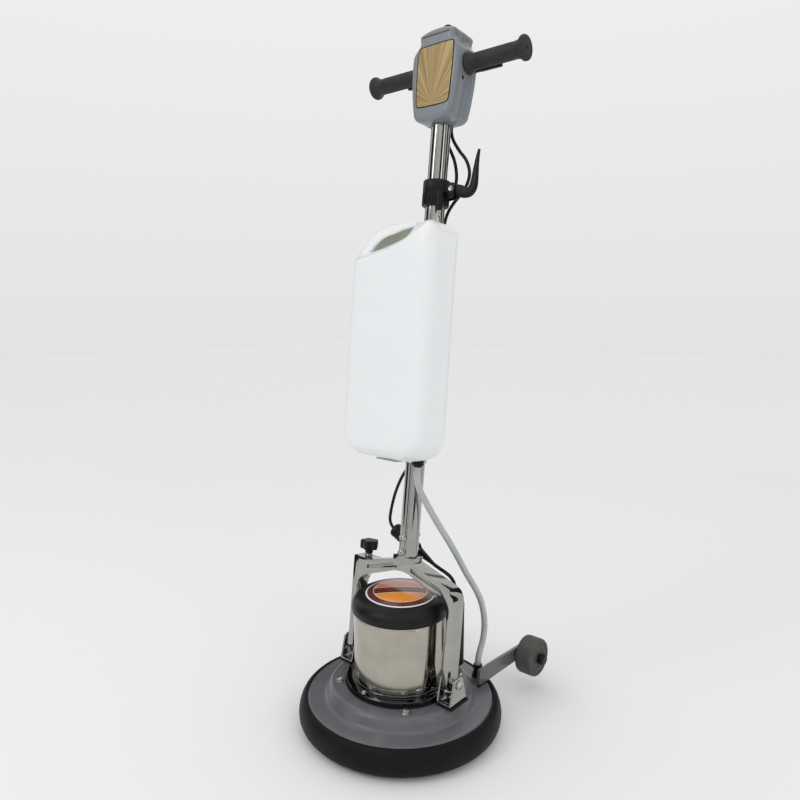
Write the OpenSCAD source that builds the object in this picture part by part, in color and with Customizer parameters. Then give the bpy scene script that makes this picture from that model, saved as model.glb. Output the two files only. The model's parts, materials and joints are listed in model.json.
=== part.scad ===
// Single-disc floor machine: a round scrubbing and polishing head with an upright motor,
// a chrome yoke and pole, a solution tank and a control box with two grips.
// Millimetres. +Z is up, +X runs along the grips, +Y points back towards the operator.
// The origin is the centre of the pad's flat bottom.

/* [Head] */
// Radius of the painted base plate
plate_r = 203; // [200:1:206]
// Height of the plate's outer edge
plate_edge_z = 62; // [60:1:64]
// Height of the flat land that carries the motor
land_z = 93; // [92:1:94]
// Thickness of the cast plate
plate_wall = 5; // [4:0.5:6]
// Radius of the pad
pad_r = 190; // [180:1:192]
// Thickness of the pad
pad_h = 22; // [18:1:22]

/* [Motor] */
// Outer radius of the polished motor casing
motor_r = 101; // [100:1:102]
// Height of the lower edge of the motor cap
cap_z = 256; // [254:1:258]
// Outer radius of the motor cap
cap_r = 105; // [104:1:106]

/* [Gearbox] */
// Gear module
gear_m = 1.25; // [1.25]
// Teeth on the sun pinion
sun_teeth = 12; // [12]
// Teeth on each planet gear
planet_teeth = 42; // [42]
// Backlash between two gears
backlash = 0.2; // [0.15:0.01:0.25]

/* [Handle] */
// Height of the pole's tilt axis
pivot_z = 137; // [136:1:138]
// Lean of the pole at rest, in degrees
lean = 6.5; // [6:0.1:7]
// Outer radius of the pole tube
pole_r = 21; // [20.5:0.1:21.5]
// Distance along the pole from the tilt axis to the grips' axis
grip_d = 1272; // [1260:1:1280]
// Radius of the grips
grip_r = 16.5; // [16:0.1:17]
// Distance between the outer ends of the two grips
grip_span = 393; // [388:1:396]

/* [Yoke] */
// Distance from the middle to the outside of each yoke arm
yoke_x = 141; // [140:0.5:142]
// Thickness of a yoke arm
arm_t = 14; // [13:0.5:14]
// Width of the yoke from front to back
yoke_w = 38; // [36:1:40]

/* [Tank] */
// Half of the tank's width
tank_x = 108; // [104:1:110]
// Lower end of the tank along the pole
tank_z0 = 452; // [450:1:456]
// Upper end of the tank along the pole
tank_z1 = 948; // [944:1:950]
// Wall of the tank
tank_wall = 3; // [2.5:0.5:4]

/* [Wheels] */
// Radius of a transport wheel
wheel_r = 44.5; // [44:0.5:47]
// Width of a transport wheel
wheel_w = 42.5; // [40:0.5:43]
// Distance of the wheels' axle behind the pad's centre
wheel_y = 309; // [306:1:312]
// Height of the wheels' axle
wheel_z = 77; // [75:1:79]

/* [Hidden] */

$fn = 64;
gap = 0.3;
fit_gap = 0.05;
overlap = 1;

// Heights in the gearbox, counted up from the floor
driver_z0 = pad_h + gap;
driver_h = 16;
flange_z0 = driver_z0 + driver_h;
flange_h = 7;
gear_z0 = 74;
gear_h = 14;
carrier_h = 8;
carrier_z1 = gear_z0 - 1;
gasket_h = 4;
gasket_z0 = land_z;
motor_z0 = land_z + gasket_h;
flange_plate_h = 8;
casing_z0 = motor_z0 + 14;

// Gear geometry
pressure = 25;
addendum = 0.85;
dedendum = 1.15;
ring_teeth = sun_teeth + 2 * planet_teeth;
centre_d = gear_m * (sun_teeth + planet_teeth) / 2;
pin_r = 5;

// Motor
shaft_r = 9;
casing_wall = 2;
rotor_r = 44;
stator_r = motor_r - casing_wall - gap;

// Pole frame sizes
front_y = -134;
back_y = -26;
box_y0 = -42;
box_y1 = 34;
box_split = -4;
box_wall = 3;
grip_y = -4;
bar_r = 12.5;
lever_z = 1018;
lever_x = 46;
clamp_z0 = 985;
clamp_h = 54;
clamp_r = 29;
guide_pos = [26, -20];
valve_pos = [44, -48];
nozzle_pos = [97, 161];
knob_x = -114;
block_z = 203;
ear_in = 121;
ear_out = 157;
ear_t = 4;
pivot_r = 6;
arm_in = 118;
wheel_in = 130.5;
arm_plate_t = 8;

// Routes of the cords. The first two follow the pole, the last two are upright.
cable_r = 3.5;
cord_r = 4;
hose_r = 7;
motor_cable_route = [[8, 26, 1168], [8, 26, 1150], [13, 29, 1132], [27, 34, 1110], [45, 37, 1088],
    [55, 38, 1062], [50, 40, 1039], [34, 42, 1019], [16, 40, 998], [7, 34, 974], [5, 30, 940],
    [5, 30, 840], [5, 30, 740], [5, 30, 640], [5, 30, 540], [0, 31, 500], [-14, 33, 464],
    [-38, 36, 430], [-66, 40, 392], [-84, 43, 354], [-92, 43, 320], [-93.5, 41, 296.5],
    [-92.5, 40, 289.2], [-89.6, 38.9, 282.5], [-85, 37.9, 276.8], [-79, 37.3, 272.6],
    [-76.35, 37.54, 271.2]];
mains_lead_route = [[-9, 26, 1168], [-9, 26, 1150], [-5, 29, 1132], [7, 31, 1110], [18, 32, 1088],
    [24, 34, 1062], [22, 37, 1040], [11, 38, 1018], [-2, 36, 996], [-9, 33, 970],
    [-12, 30, 935], [-12, 30, 880], [-12, 30, 820], [-12, 30, 760.1]];
hose_route = [[44, 1.6, 575.1], [44, 0, 560], [44, 3, 541], [44, 13, 520], [46, 29, 494],
    [50, 49, 462], [57, 71, 426], [65, 93, 390], [73, 114, 352], [81, 134, 314],
    [88, 153, 282], [93, 170, 250], [96, 181, 216], [98, 184, 182], [98, 179, 150],
    [97.5, 168, 126], [97, 162, 109], [nozzle_pos[0], nozzle_pos[1], 101],
    [nozzle_pos[0], nozzle_pos[1], 96.3]];
motor_cord_route = [[30.5, 72, 345.7], [38, 73.2, 341.3], [47, 79.5, 333.5], [54, 91, 323],
    [58.5, 104, 310], [60, 115, 294], [59.2, 121, 277], [57, 123, 265], [57, 123, 258.3]];
coupler_from = [-76, 68, 402];
coupler_to = [30, 72, 346];

// ---- helpers ----

// Places children in the pole's own frame: z runs up the pole from the tilt axis
module on_pole()
    translate([0, 0, pivot_z])
        rotate([-lean, 0, 0])
            children();

// Turns a shape drawn along z so that it lies along x
module along_x()
    rotate([0, 90, 0])
        children();

// Turns a shape drawn along z so that it lies along y
module along_y()
    rotate([-90, 0, 0])
        children();

// Repeats children on both sides of the middle plane
module both_sides() {
    children();
    mirror([1, 0, 0])
        children();
}

// Plain ring standing on z = 0
module ring(r_out, r_in, h)
    difference() {
        cylinder(r = r_out, h = h, $fn = 96);
        translate([0, 0, -overlap])
            cylinder(r = r_in, h = h + 2 * overlap, $fn = 96);
    }

// Hexagon head with its face up
module hex_head(across, h)
    cylinder(r = across / sqrt(3), h = h, $fn = 6);

// Points of a rounded rectangle around the origin
function corner(cx, cy, r, a0, n) =
    [for (i = [0:n]) [cx + r * cos(a0 + i * 90 / n), cy + r * sin(a0 + i * 90 / n)]];
function rounded(w, h, r, n = 6) = concat(
    corner(w / 2 - r, h / 2 - r, r, 0, n),
    corner(r - w / 2, h / 2 - r, r, 90, n),
    corner(r - w / 2, r - h / 2, r, 180, n),
    corner(w / 2 - r, r - h / 2, r, 270, n));

// Direction of a route at its point i
function unit(v) = v / norm(v);
function heading(p, i) = unit(p[min(i + 1, len(p) - 1)] - p[max(i - 1, 0)]);
// One ring of points around the route, kept square to it
function ring_side(t) = unit(cross(t, abs(t[0]) < 0.9 ? [1, 0, 0] : [0, 1, 0]));
function tube_ring(c, t, r, n) =
    [for (k = [0:n - 1])
        c + r * (cos(k * 360 / n) * ring_side(t) + sin(k * 360 / n) * cross(t, ring_side(t)))];

// Closed tube swept along a route, with flat ends
module tube(route, r, sides = 8) {
    rings = len(route);
    pts = [for (i = [0:rings - 1]) each tube_ring(route[i], heading(route, i), r, sides)];
    walls = [for (i = [0:rings - 2], k = [0:sides - 1])
        let (a = i * sides + k, b = i * sides + (k + 1) % sides)
        each [[a, a + sides, b + sides], [a, b + sides, b]]];
    ends = [[for (k = [0:sides - 1]) k], [for (k = [sides - 1:-1:0]) (rings - 1) * sides + k]];
    polyhedron(points = pts, faces = concat(walls, ends), convexity = 10);
}

// Involute helper: the roll-off angle, in degrees, at radius r from base radius rb
function roll(rb, r) = r <= rb ? 0 : tan(acos(rb / r)) * 180 / PI - acos(rb / r);
// Half of a tooth's angle at radius r; slack narrows the tooth
function half_tooth(z, r, slack) =
    let (rp = gear_m * z / 2, rb = rp * cos(pressure))
    90 / z - slack * 90 / (PI * rp) + roll(rb, rp) - roll(rb, r);
function gear_points(z, r_tip, r_root, slack, steps = 4) =
    [for (i = [0:z - 1]) each concat(
        [for (s = [0:steps]) let (r = r_root + (r_tip - r_root) * s / steps,
            a = i * 360 / z - half_tooth(z, r, slack)) [r * cos(a), r * sin(a)]],
        [for (s = [steps:-1:0]) let (r = r_root + (r_tip - r_root) * s / steps,
            a = i * 360 / z + half_tooth(z, r, slack)) [r * cos(a), r * sin(a)]])];

// External spur gear outline with its first tooth along +x
module gear_outline(z)
    polygon(gear_points(z, gear_m * (z / 2 + addendum), gear_m * (z / 2 - dedendum), backlash / 2));

// ---- head ----

module bumper()
    color([0.05, 0.05, 0.05])
        rotate_extrude($fn = 128)
            polygon([[plate_r + gap, 57], [plate_r + gap, 63], [plate_r + 2, 64.5],
                [plate_r + 6, 64], [plate_r + 12, 58.5], [plate_r + 16, 49], [plate_r + 18.5, 38],
                [plate_r + 19, 32], [plate_r + 18, 23], [plate_r + 14, 14], [plate_r + 8, 8],
                [plate_r + 1, 6], [plate_r - 4, 7], [plate_r - 4, 28], [plate_r - 9, 30],
                [plate_r - 9, 40], [plate_r + gap, 42]]);

// Cast cover: a rolled edge, a sloping rim, a rounded step and a flat land
module base_plate()
    color([0.32, 0.33, 0.35])
        difference() {
            rotate_extrude($fn = 128)
                polygon([[56, land_z], [144, land_z], [148, land_z - 1], [152, land_z - 4],
                    [156, land_z - 10], [160, land_z - 17], [163, 70], [167, 67], [180, 66],
                    [196, 64.5], [plate_r - 2, plate_edge_z + 1.5], [plate_r, plate_edge_z - 1],
                    [plate_r, 43], [plate_r - plate_wall, 41], [plate_r - plate_wall, 57],
                    [190, 60], [165, 62], [158, 65], [154, 73], [149, 82], [144, 87],
                    [140, land_z - plate_wall], [86, land_z - plate_wall], [86, 80],
                    [80, 80], [80, land_z - plate_wall - 0.5], [71 + gap, land_z - 6],
                    [71 + gap, land_z - 2], [56, land_z - 2]]);
            for (a = [45:90:315])
                rotate([0, 0, a])
                    translate([132, 0, 60])
                        cylinder(r = 4 + gap, h = 60);
            translate([nozzle_pos[0], nozzle_pos[1], 40])
                cylinder(r = 8 + fit_gap, h = 40);
            both_sides()
                wheel_arm_slot();
            for (a = [-93:90:267])
                rotate([0, 0, a])
                    translate([110, 0, 70])
                        cylinder(r = 2.5 + gap, h = 40);
        }

// Clearance in the plate where a wheel arm passes through its rim
module wheel_arm_slot()
    translate([arm_in - gap, 120, 52])
        cube([arm_plate_t + 2 * gap, 90, 60]);

module plate_bolts()
    color([0.6, 0.6, 0.58])
        for (a = [45:90:315])
            rotate([0, 0, a])
                translate([132, 0, 0]) {
                    translate([0, 0, land_z])
                        cylinder(r = 9, h = 1);
                    translate([0, 0, land_z + 1])
                        hex_head(13, 5);
                    translate([0, 0, land_z - 20])
                        cylinder(r = 4, h = 21);
                }

module gasket()
    color([0.03, 0.03, 0.03])
        translate([0, 0, gasket_z0])
            difference() {
                ring(120.5, 72, gasket_h);
                flange_screw_holes(0, 40);
            }

// Holes of the motor flange screws through a part drawn in its own height
module flange_screw_holes(z0, h)
    for (a = [-93:90:177])
        rotate([0, 0, a])
            translate([110, 0, z0 - overlap])
                cylinder(r = 2.5 + gap, h = h);

// Gearbox casing: hangs under the land and carries the ring gear and the output bearing
module gearbox_housing()
    color([0.45, 0.46, 0.47])
        rotate_extrude($fn = 96)
            polygon([[30 + fit_gap, 52], [40, 52], [40, 60], [71, 62], [71, land_z - 2.3],
                [68 + fit_gap, land_z - 2.3], [68 + fit_gap, 63.5], [38, 63.5], [30 + fit_gap, 62]]);

module ring_gear()
    color([0.35, 0.35, 0.36])
        translate([0, 0, gear_z0 - 2])
            difference() {
                cylinder(r = 68, h = gear_h + 2, $fn = 96);
                translate([0, 0, -overlap])
                    linear_extrude(gear_h + 2 + 2 * overlap)
                        rotate(180 / ring_teeth)
                            polygon(gear_points(ring_teeth, gear_m * (ring_teeth / 2 + dedendum),
                                gear_m * (ring_teeth / 2 - addendum), -backlash / 2));
            }

module output_bearing()
    color([0.7, 0.7, 0.72])
        translate([0, 0, 52])
            ring(30, 20 + fit_gap, 10);

// ---- motor ----

module motor_flange()
    color([0.25, 0.25, 0.26])
        translate([0, 0, motor_z0])
            difference() {
                rotate_extrude($fn = 96)
                    polygon([[23 + fit_gap, 0], [117, 0], [118, 1], [118, flange_plate_h - 1],
                        [117, flange_plate_h], [motor_r + 3, flange_plate_h], [motor_r + 3, 12],
                        [motor_r, 14], [stator_r - 8, 14], [stator_r - 8, 10], [32, 10],
                        [32, 18], [23 + fit_gap, 18], [23 + fit_gap, 6], [15, 6], [15, 3],
                        [23 + fit_gap, 3]]);
                flange_screw_holes(0, 40);
            }

module flange_screws()
    color([0.7, 0.7, 0.68])
        for (a = [-93:90:177])
            rotate([0, 0, a])
                translate([110, 0, 0]) {
                    translate([0, 0, motor_z0 + flange_plate_h])
                        cylinder(r = 6, h = 1);
                    translate([0, 0, motor_z0 + flange_plate_h + 1])
                        hex_head(8, 3);
                    translate([0, 0, land_z - 9])
                        cylinder(r = 2.5, h = 22);
                }

module motor_housing()
    color([0.78, 0.77, 0.7])
        translate([0, 0, casing_z0])
            ring(motor_r, motor_r - casing_wall, cap_z + 6 - casing_z0);

// Laminated stack with 24 slots
module stator()
    color([0.45, 0.32, 0.2])
        translate([0, 0, casing_z0 + 20]) {
            difference() {
                cylinder(r = stator_r, h = 80, $fn = 96);
                translate([0, 0, -overlap])
                    cylinder(r = rotor_r + 0.6, h = 80 + 2 * overlap, $fn = 96);
                for (a = [0:15:345])
                    rotate([0, 0, a])
                        translate([rotor_r + 8, -2, -overlap])
                            cube([18, 4, 80 + 2 * overlap]);
            }
        }

module motor_bearings()
    color([0.7, 0.7, 0.72]) {
        translate([0, 0, motor_z0 + 6.1])
            ring(23, shaft_r + fit_gap, 11);
        translate([0, 0, cap_z - 10])
            ring(20, shaft_r + fit_gap, 11);
    }

// Upper bearing carrier, held in the casing's mouth
module end_bell()
    color([0.5, 0.5, 0.52])
        translate([0, 0, cap_z - 12])
            difference() {
                rotate_extrude($fn = 96)
                    polygon([[20 + fit_gap, 1.9], [15, 1.9], [15, 0], [30, 0], [34, 10],
                        [stator_r, 10], [stator_r, 16], [30, 16], [30, 14], [20 + fit_gap, 14]]);
                for (a = [0:60:300])
                    rotate([0, 0, a])
                        translate([62, 0, 0])
                            cylinder(r = 14, h = 20);
            }

// Pressed cap with a rolled lower lip and a low dome
module motor_cap()
    color([0.07, 0.07, 0.07])
        rotate_extrude($fn = 128)
            polygon([[cap_r - 2, cap_z - 1], [cap_r, cap_z], [cap_r + 1, cap_z + 6],
                [cap_r + 0.5, cap_z + 14], [cap_r - 3, cap_z + 22], [cap_r - 10, cap_z + 29],
                [cap_r - 18, cap_z + 32.5], [79, cap_z + 33.5], [60, cap_z + 38],
                [30, cap_z + 41], [0, cap_z + 42], [0, cap_z + 38], [30, cap_z + 37],
                [60, cap_z + 34], [79, cap_z + 29.5], [cap_r - 12, cap_z + 25],
                [cap_r - 3.5, cap_z + 14], [motor_r + gap, cap_z + 6], [motor_r + gap, cap_z]]);

// Cover of the starting capacitors, curved to the back of the motor
module capacitor_cover()
    color([0.05, 0.05, 0.05])
        difference() {
            capacitor_block(76, 141, 100, 244);
            capacitor_block(73, 138, 103, 241);
            translate([0, 0, 90])
                cylinder(r = motor_r + gap, h = 200, $fn = 96);
            translate([0, 0, 90])
                cylinder(r = motor_r + 3 + gap, h = 21 + gap, $fn = 96);
            translate([0, 0, 90])
                cylinder(r = 118.5, h = 16, $fn = 96);
            translate([57, 123, 230])
                cylinder(r = 6 + fit_gap, h = 20);
        }

// Box behind the motor with rounded upright edges
module capacitor_block(half_w, y1, z0, z1)
    translate([0, 0, z0])
        linear_extrude(z1 - z0)
            translate([0, y1 - 50])
                polygon(rounded(2 * half_w, 100, 10));

module capacitors()
    color([0.75, 0.76, 0.78])
        for (x = [-44, 44])
            translate([x, 113.5, 106]) {
                cylinder(r = 17, h = 92);
                translate([0, 0, 92])
                    cylinder(r = 6, h = 8);
            }

module cord_gland()
    color([0.06, 0.06, 0.06])
        translate([57, 123, 0])
            difference() {
                union() {
                    translate([0, 0, 236])
                        cylinder(r = 6, h = 9);
                    translate([0, 0, 244])
                        cylinder(r = 9, h = 6);
                    translate([0, 0, 250])
                        cylinder(r = 7, h = 8);
                }
                translate([0, 0, 230])
                    cylinder(r = 3, h = 28);
            }

// ---- pivots ----

module pivot_brackets()
    color([0.62, 0.62, 0.58])
        both_sides()
            difference() {
                union() {
                    bracket_ear(ear_in);
                    bracket_ear(ear_out - ear_t);
                    translate([ear_in, -28, gasket_z0 + 4])
                        cube([ear_out - ear_in, 56, 4]);
                }
                translate([ear_in - overlap, 0, pivot_z])
                    along_x()
                        cylinder(r = pivot_r + fit_gap, h = ear_out - ear_in + 2 * overlap);
                translate([139, 0, 90])
                    cylinder(r = 4, h = 20);
                translate([0, 0, motor_z0 - 1])
                    cylinder(r = 118.5, h = 14, $fn = 96);
            }

// One tapered ear of a clevis bracket, drawn at its inner x
module bracket_ear(x)
    translate([x, 0, 0])
        rotate([90, 0, 90])
            linear_extrude(ear_t)
                polygon([[-28, gasket_z0 + 4], [28, gasket_z0 + 4], [15, pivot_z + 9],
                    [9, pivot_z + 14], [-9, pivot_z + 14], [-15, pivot_z + 9]]);

module bracket_pads()
    color([0.03, 0.03, 0.03])
        both_sides()
            difference() {
                translate([122, -30, land_z])
                    cube([40, 60, 4]);
                translate([0, 0, land_z - 1])
                    cylinder(r = 121, h = 10, $fn = 96);
            }

// A bolt through each bracket, with its head outside and a nut inside
module pivot_bolts()
    color([0.8, 0.8, 0.78])
        both_sides()
            translate([0, 0, pivot_z])
                along_x() {
                    translate([0, 0, ear_in - 6])
                        hex_head(17, 6);
                    translate([0, 0, ear_in])
                        cylinder(r = pivot_r, h = ear_out - ear_in);
                    translate([0, 0, ear_out])
                        hex_head(17, 5);
                }

// ---- transport wheels ----

// Flat bars bolted under the rim, rising through it and running back to the axle
module wheel_arms()
    color([0.3, 0.3, 0.31])
        both_sides()
            difference() {
                translate([arm_in, 0, 0])
                    rotate([90, 0, 90])
                        linear_extrude(arm_plate_t)
                            polygon([[124, 72], [132, 67.5], [190, 67],
                                [wheel_y, wheel_z - 12], [wheel_y + 10, wheel_z - 8],
                                [wheel_y + 13, wheel_z], [wheel_y + 10, wheel_z + 12],
                                [wheel_y - 4, wheel_z + 19], [200, 101], [140, 103],
                                [128, 103]]);
                translate([arm_in - overlap, wheel_y, wheel_z])
                    along_x()
                        cylinder(r = 6 + fit_gap, h = arm_plate_t + 2 * overlap);
            }

module wheel_axle()
    color([0.6, 0.6, 0.6])
        both_sides()
            translate([arm_in - 1, wheel_y, wheel_z])
                along_x()
                    cylinder(r = 6, h = wheel_in + wheel_w + 7.3 - arm_in + 1);

module wheel_caps()
    color([0.03, 0.03, 0.03])
        both_sides()
            translate([wheel_in + wheel_w + 1, wheel_y, wheel_z])
                along_x()
                    difference() {
                        cylinder(r = 13, h = 14);
                        translate([0, 0, -overlap])
                            cylinder(r = 6 + fit_gap, h = 6.6 + overlap);
                    }

// Moulded wheel with raised rings on its faces
module wheel()
    rotate_extrude($fn = 96)
        polygon([[6 + fit_gap, 1], [15, 1], [15, 3], [22, 3], [24, 1], [33, 1], [35, 0],
            [wheel_r - 5, 0], [wheel_r - 1, 2], [wheel_r, 6], [wheel_r, wheel_w - 6],
            [wheel_r - 1, wheel_w - 2], [wheel_r - 5, wheel_w], [35, wheel_w],
            [33, wheel_w - 1], [24, wheel_w - 1], [22, wheel_w - 3], [15, wheel_w - 3],
            [15, wheel_w - 1], [6 + fit_gap, wheel_w - 1]]);

module wheel_right()
    color([0.33, 0.33, 0.32])
        translate([wheel_in, wheel_y, wheel_z])
            along_x()
                wheel();

module wheel_left()
    color([0.33, 0.33, 0.32])
        translate([-wheel_in - wheel_w, wheel_y, wheel_z])
            along_x()
                wheel();

module hose_nozzle()
    color([0.05, 0.05, 0.05])
        translate([nozzle_pos[0], nozzle_pos[1], 0])
            difference() {
                union() {
                    translate([0, 0, 54])
                        cylinder(r = 8, h = 13);
                    translate([0, 0, 67])
                        cylinder(r = 13, h = 8);
                    translate([0, 0, 75])
                        cylinder(r = 10, h = 21);
                }
                translate([0, 0, 50])
                    cylinder(r = 4, h = 50);
            }

// ---- drive train ----

module rotor_shaft()
    color([0.6, 0.6, 0.62]) {
        translate([0, 0, gear_z0 + gear_h])
            cylinder(r = shaft_r, h = cap_z + 4 - gear_z0 - gear_h);
        translate([0, 0, gear_z0])
            linear_extrude(gear_h + 0.5)
                gear_outline(sun_teeth);
    }

module rotor_core()
    color([0.5, 0.48, 0.45])
        translate([0, 0, casing_z0 + 20])
            ring(rotor_r, shaft_r + fit_gap, 80);

// Planet gear k, 120 degrees on from the one before
module planet(k)
    color([0.4, 0.4, 0.42])
        rotate([0, 0, 120 * k])
            translate([centre_d, 0, gear_z0])
                difference() {
                    linear_extrude(gear_h)
                        rotate(180 + 180 / planet_teeth)
                            gear_outline(planet_teeth);
                    translate([0, 0, -overlap])
                        cylinder(r = pin_r + fit_gap, h = gear_h + 2 * overlap);
                }

module planet_1() planet(0);
module planet_2() planet(1);
module planet_3() planet(2);

// Carrier plate with its hollow output hub and bolting flange
module carrier()
    color([0.5, 0.5, 0.52])
        difference() {
            rotate_extrude($fn = 96)
                polygon([[0, flange_z0], [36, flange_z0], [36, flange_z0 + flange_h],
                    [20, flange_z0 + flange_h], [20, carrier_z1 - carrier_h],
                    [52, carrier_z1 - carrier_h], [52, carrier_z1], [0, carrier_z1]]);
            for (k = [0:2])
                rotate([0, 0, 120 * k])
                    translate([centre_d, 0, carrier_z1 - carrier_h - overlap])
                        cylinder(r = pin_r + fit_gap, h = carrier_h + 2 * overlap);
            for (a = [0:90:270])
                rotate([0, 0, a])
                    translate([28, 0, flange_z0 - overlap])
                        cylinder(r = 3 + fit_gap, h = flange_h + 2 * overlap);
        }

module planet_pins()
    color([0.65, 0.65, 0.67])
        for (k = [0:2])
            rotate([0, 0, 120 * k])
                translate([centre_d, 0, carrier_z1 - carrier_h])
                    cylinder(r = pin_r, h = carrier_h + gear_h + 1.5);

module drive_bolts()
    color([0.6, 0.6, 0.6])
        for (a = [0:90:270])
            rotate([0, 0, a])
                translate([28, 0, 0]) {
                    translate([0, 0, flange_z0 - 9])
                        cylinder(r = 3, h = flange_h + 9);
                    translate([0, 0, flange_z0 - 14])
                        hex_head(9, 5);
                }

// Ribbed disc that grips the pad
module pad_driver()
    color([0.2, 0.2, 0.22])
        difference() {
            translate([0, 0, driver_z0])
                cylinder(r = pad_r - 5, h = driver_h - fit_gap, $fn = 96);
            translate([0, 0, driver_z0 + 8])
                ring(pad_r - 14, 46, 20);
            for (a = [0:90:270])
                rotate([0, 0, a])
                    translate([28, 0, driver_z0 - overlap]) {
                        cylinder(r = 3 + fit_gap, h = 30);
                        cylinder(r = 7, h = 8.5);
                    }
        }

// Fibre pad; its flat bottom is the face that the machine rests on
module pad()
    color([0.08, 0.08, 0.08])
        cylinder(r = pad_r, h = pad_h, $fn = 96);

// ---- yoke and pole ----

// Half of the yoke's front outline
function yoke_half() = [
    [yoke_x, 0], [yoke_x, 166], [yoke_x - 2, 176], [yoke_x - 8, 186], [yoke_x - 17, 192.5],
    [26, 222], [26, 232], [0, 232], [0, 200], [18, 198],
    [yoke_x - arm_t - 34, 170.5], [yoke_x - arm_t - 20, 165], [yoke_x - arm_t - 8, 156],
    [yoke_x - arm_t - 2, 145], [yoke_x - arm_t, 134], [yoke_x - arm_t, 0]];

module yoke()
    color([0.68, 0.69, 0.68])
        on_pole()
            difference() {
                union() {
                    both_sides()
                        translate([0, yoke_w / 2, 0])
                            rotate([90, 0, 0])
                                linear_extrude(yoke_w)
                                    polygon(yoke_half());
                    both_sides()
                        translate([yoke_x - arm_t, 0, 0])
                            along_x()
                                cylinder(r = yoke_w / 2, h = arm_t);
                    translate([0, yoke_w / 2, 0])
                        rotate([90, 0, 0])
                            linear_extrude(yoke_w)
                                polygon([[-yoke_x, 166], [-107, 166], [-100, 182], [-75, 182],
                                    [-75, block_z], [-yoke_x, block_z]]);
                    translate([0, 0, 205])
                        cylinder(r = pole_r - 3 - fit_gap, h = 107);
                }
                both_sides()
                    translate([yoke_x - arm_t - overlap, 0, 0])
                        along_x()
                            cylinder(r = pivot_r + fit_gap, h = arm_t + 2 * overlap);
                beam_groove();
                mirror([0, 1, 0])
                    beam_groove();
                translate([knob_x, 0, 150])
                    cylinder(r = 5 + fit_gap, h = 80);
                pole_bolt_holes();
            }

// Long recess in the face of each sloping beam
module beam_groove()
    both_sides()
        translate([0, -yoke_w / 2 - overlap, 0])
            rotate([-90, 0, 0])
                mirror([0, 1, 0])
                    linear_extrude(4 + overlap)
                        polygon([[24, 204], [100, 182], [100, 190], [24, 213]]);

// Cross holes through the pole's foot
module pole_bolt_holes()
    for (z = [242, 274])
        translate([0, -40, z])
            along_y()
                cylinder(r = 4 + fit_gap, h = 80);

module pole()
    color([0.75, 0.75, 0.74])
        on_pole()
            difference() {
                translate([0, 0, 232 + gap])
                    ring(pole_r, pole_r - 3, 1240 - 232);
                pole_bolt_holes();
            }

module pole_bolts()
    color([0.82, 0.82, 0.8])
        on_pole()
            for (z = [242, 274])
                translate([0, 0, z])
                    along_y() {
                        translate([0, 0, -31])
                            hex_head(12, 8);
                        translate([0, 0, -23])
                            cylinder(r = 9, h = 1.5);
                        translate([0, 0, -22])
                            cylinder(r = 4, h = 54);
                        translate([0, 0, 21.5])
                            cylinder(r = 9, h = 1.5);
                        translate([0, 0, 23])
                            hex_head(13, 7);
                    }

// Turned knob on its threaded stem, standing in the yoke's corner block
module lock_knob()
    color([0.04, 0.04, 0.04])
        on_pole()
            translate([knob_x, 0, 0]) {
                translate([0, 0, 172])
                    cylinder(r = 5, h = 50);
                translate([0, 0, block_z + gap])
                    hex_head(17, 7);
                translate([0, 0, 212])
                    cylinder(r = 9, h = 10);
                translate([0, 0, 221])
                    linear_extrude(20)
                        for (a = [0:72:288])
                            rotate(a)
                                translate([12, 0])
                                    circle(r = 9.5, $fn = 32);
                translate([0, 0, 221])
                    cylinder(r = 14, h = 20);
            }

// ---- tank ----

// Rounded tank body, shrunk inwards by t: its plan, front and side outlines crossed
module tank_body(t) {
    mid_y = (front_y + back_y) / 2;
    mid_z = (tank_z0 + tank_z1) / 2;
    wide = 2 * (tank_x - t);
    deep = back_y - front_y - 2 * t;
    tall = tank_z1 - tank_z0 - 2 * t;
    intersection() {
        translate([0, mid_y, tank_z0])
            linear_extrude(tank_z1 - tank_z0)
                polygon(rounded(wide, deep, 32 - t, 8));
        translate([0, mid_y + deep / 2, mid_z])
            rotate([90, 0, 0])
                linear_extrude(deep)
                    polygon(rounded(wide, tall, 52 - t, 8));
        translate([-wide / 2, mid_y, mid_z])
            rotate([90, 0, 90])
                linear_extrude(wide)
                    polygon(rounded(deep, tall, 30 - t, 8));
    }
}

// Everything above the slanting mouth face, raised by t
module above_mouth(t)
    translate([-84, front_y, 862])
        rotate([40.5, -15.3, 0])
            translate([-300, -300, t])
                cube([700, 700, 300]);

module tank()
    color([0.92, 0.92, 0.9])
        on_pole()
            difference() {
                tank_body(0);
                above_mouth(0);
                difference() {
                    tank_body(tank_wall);
                    above_mouth(-tank_wall);
                }
                translate([-24, -92, 916])
                    rotate([40.5, -15.3, 0])
                        translate([0, 0, -30])
                            linear_extrude(60)
                                polygon(rounded(104, 56, 26));
                translate([valve_pos[0], valve_pos[1], 440])
                    cylinder(r = 9 + fit_gap, h = 30);
                translate([guide_pos[0], guide_pos[1] - 16, 925])
                    cylinder(r = 5.2, h = 40);
            }

// Two bands round the pole, each with a shelf or hook that carries the tank
module tank_brackets()
    color([0.5, 0.5, 0.5])
        on_pole() {
            for (z = [500, 850])
                translate([0, 0, z])
                    difference() {
                        union() {
                            cylinder(r = pole_r + 3, h = 24);
                            translate([-30, -25.7, 0])
                                cube([60, 4, 24]);
                        }
                        translate([0, 0, -overlap])
                            cylinder(r = pole_r + fit_gap, h = 24 + 2 * overlap);
                    }
            difference() {
                union() {
                    translate([0, 0, 437])
                        cylinder(r = pole_r + 3, h = 12);
                    translate([-26, -100, 446.5])
                        cube([52, 100, 3]);
                }
                translate([0, 0, 430])
                    cylinder(r = pole_r + fit_gap, h = 40);
                translate([valve_pos[0], valve_pos[1], 430])
                    cylinder(r = 16, h = 40);
            }
        }

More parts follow.
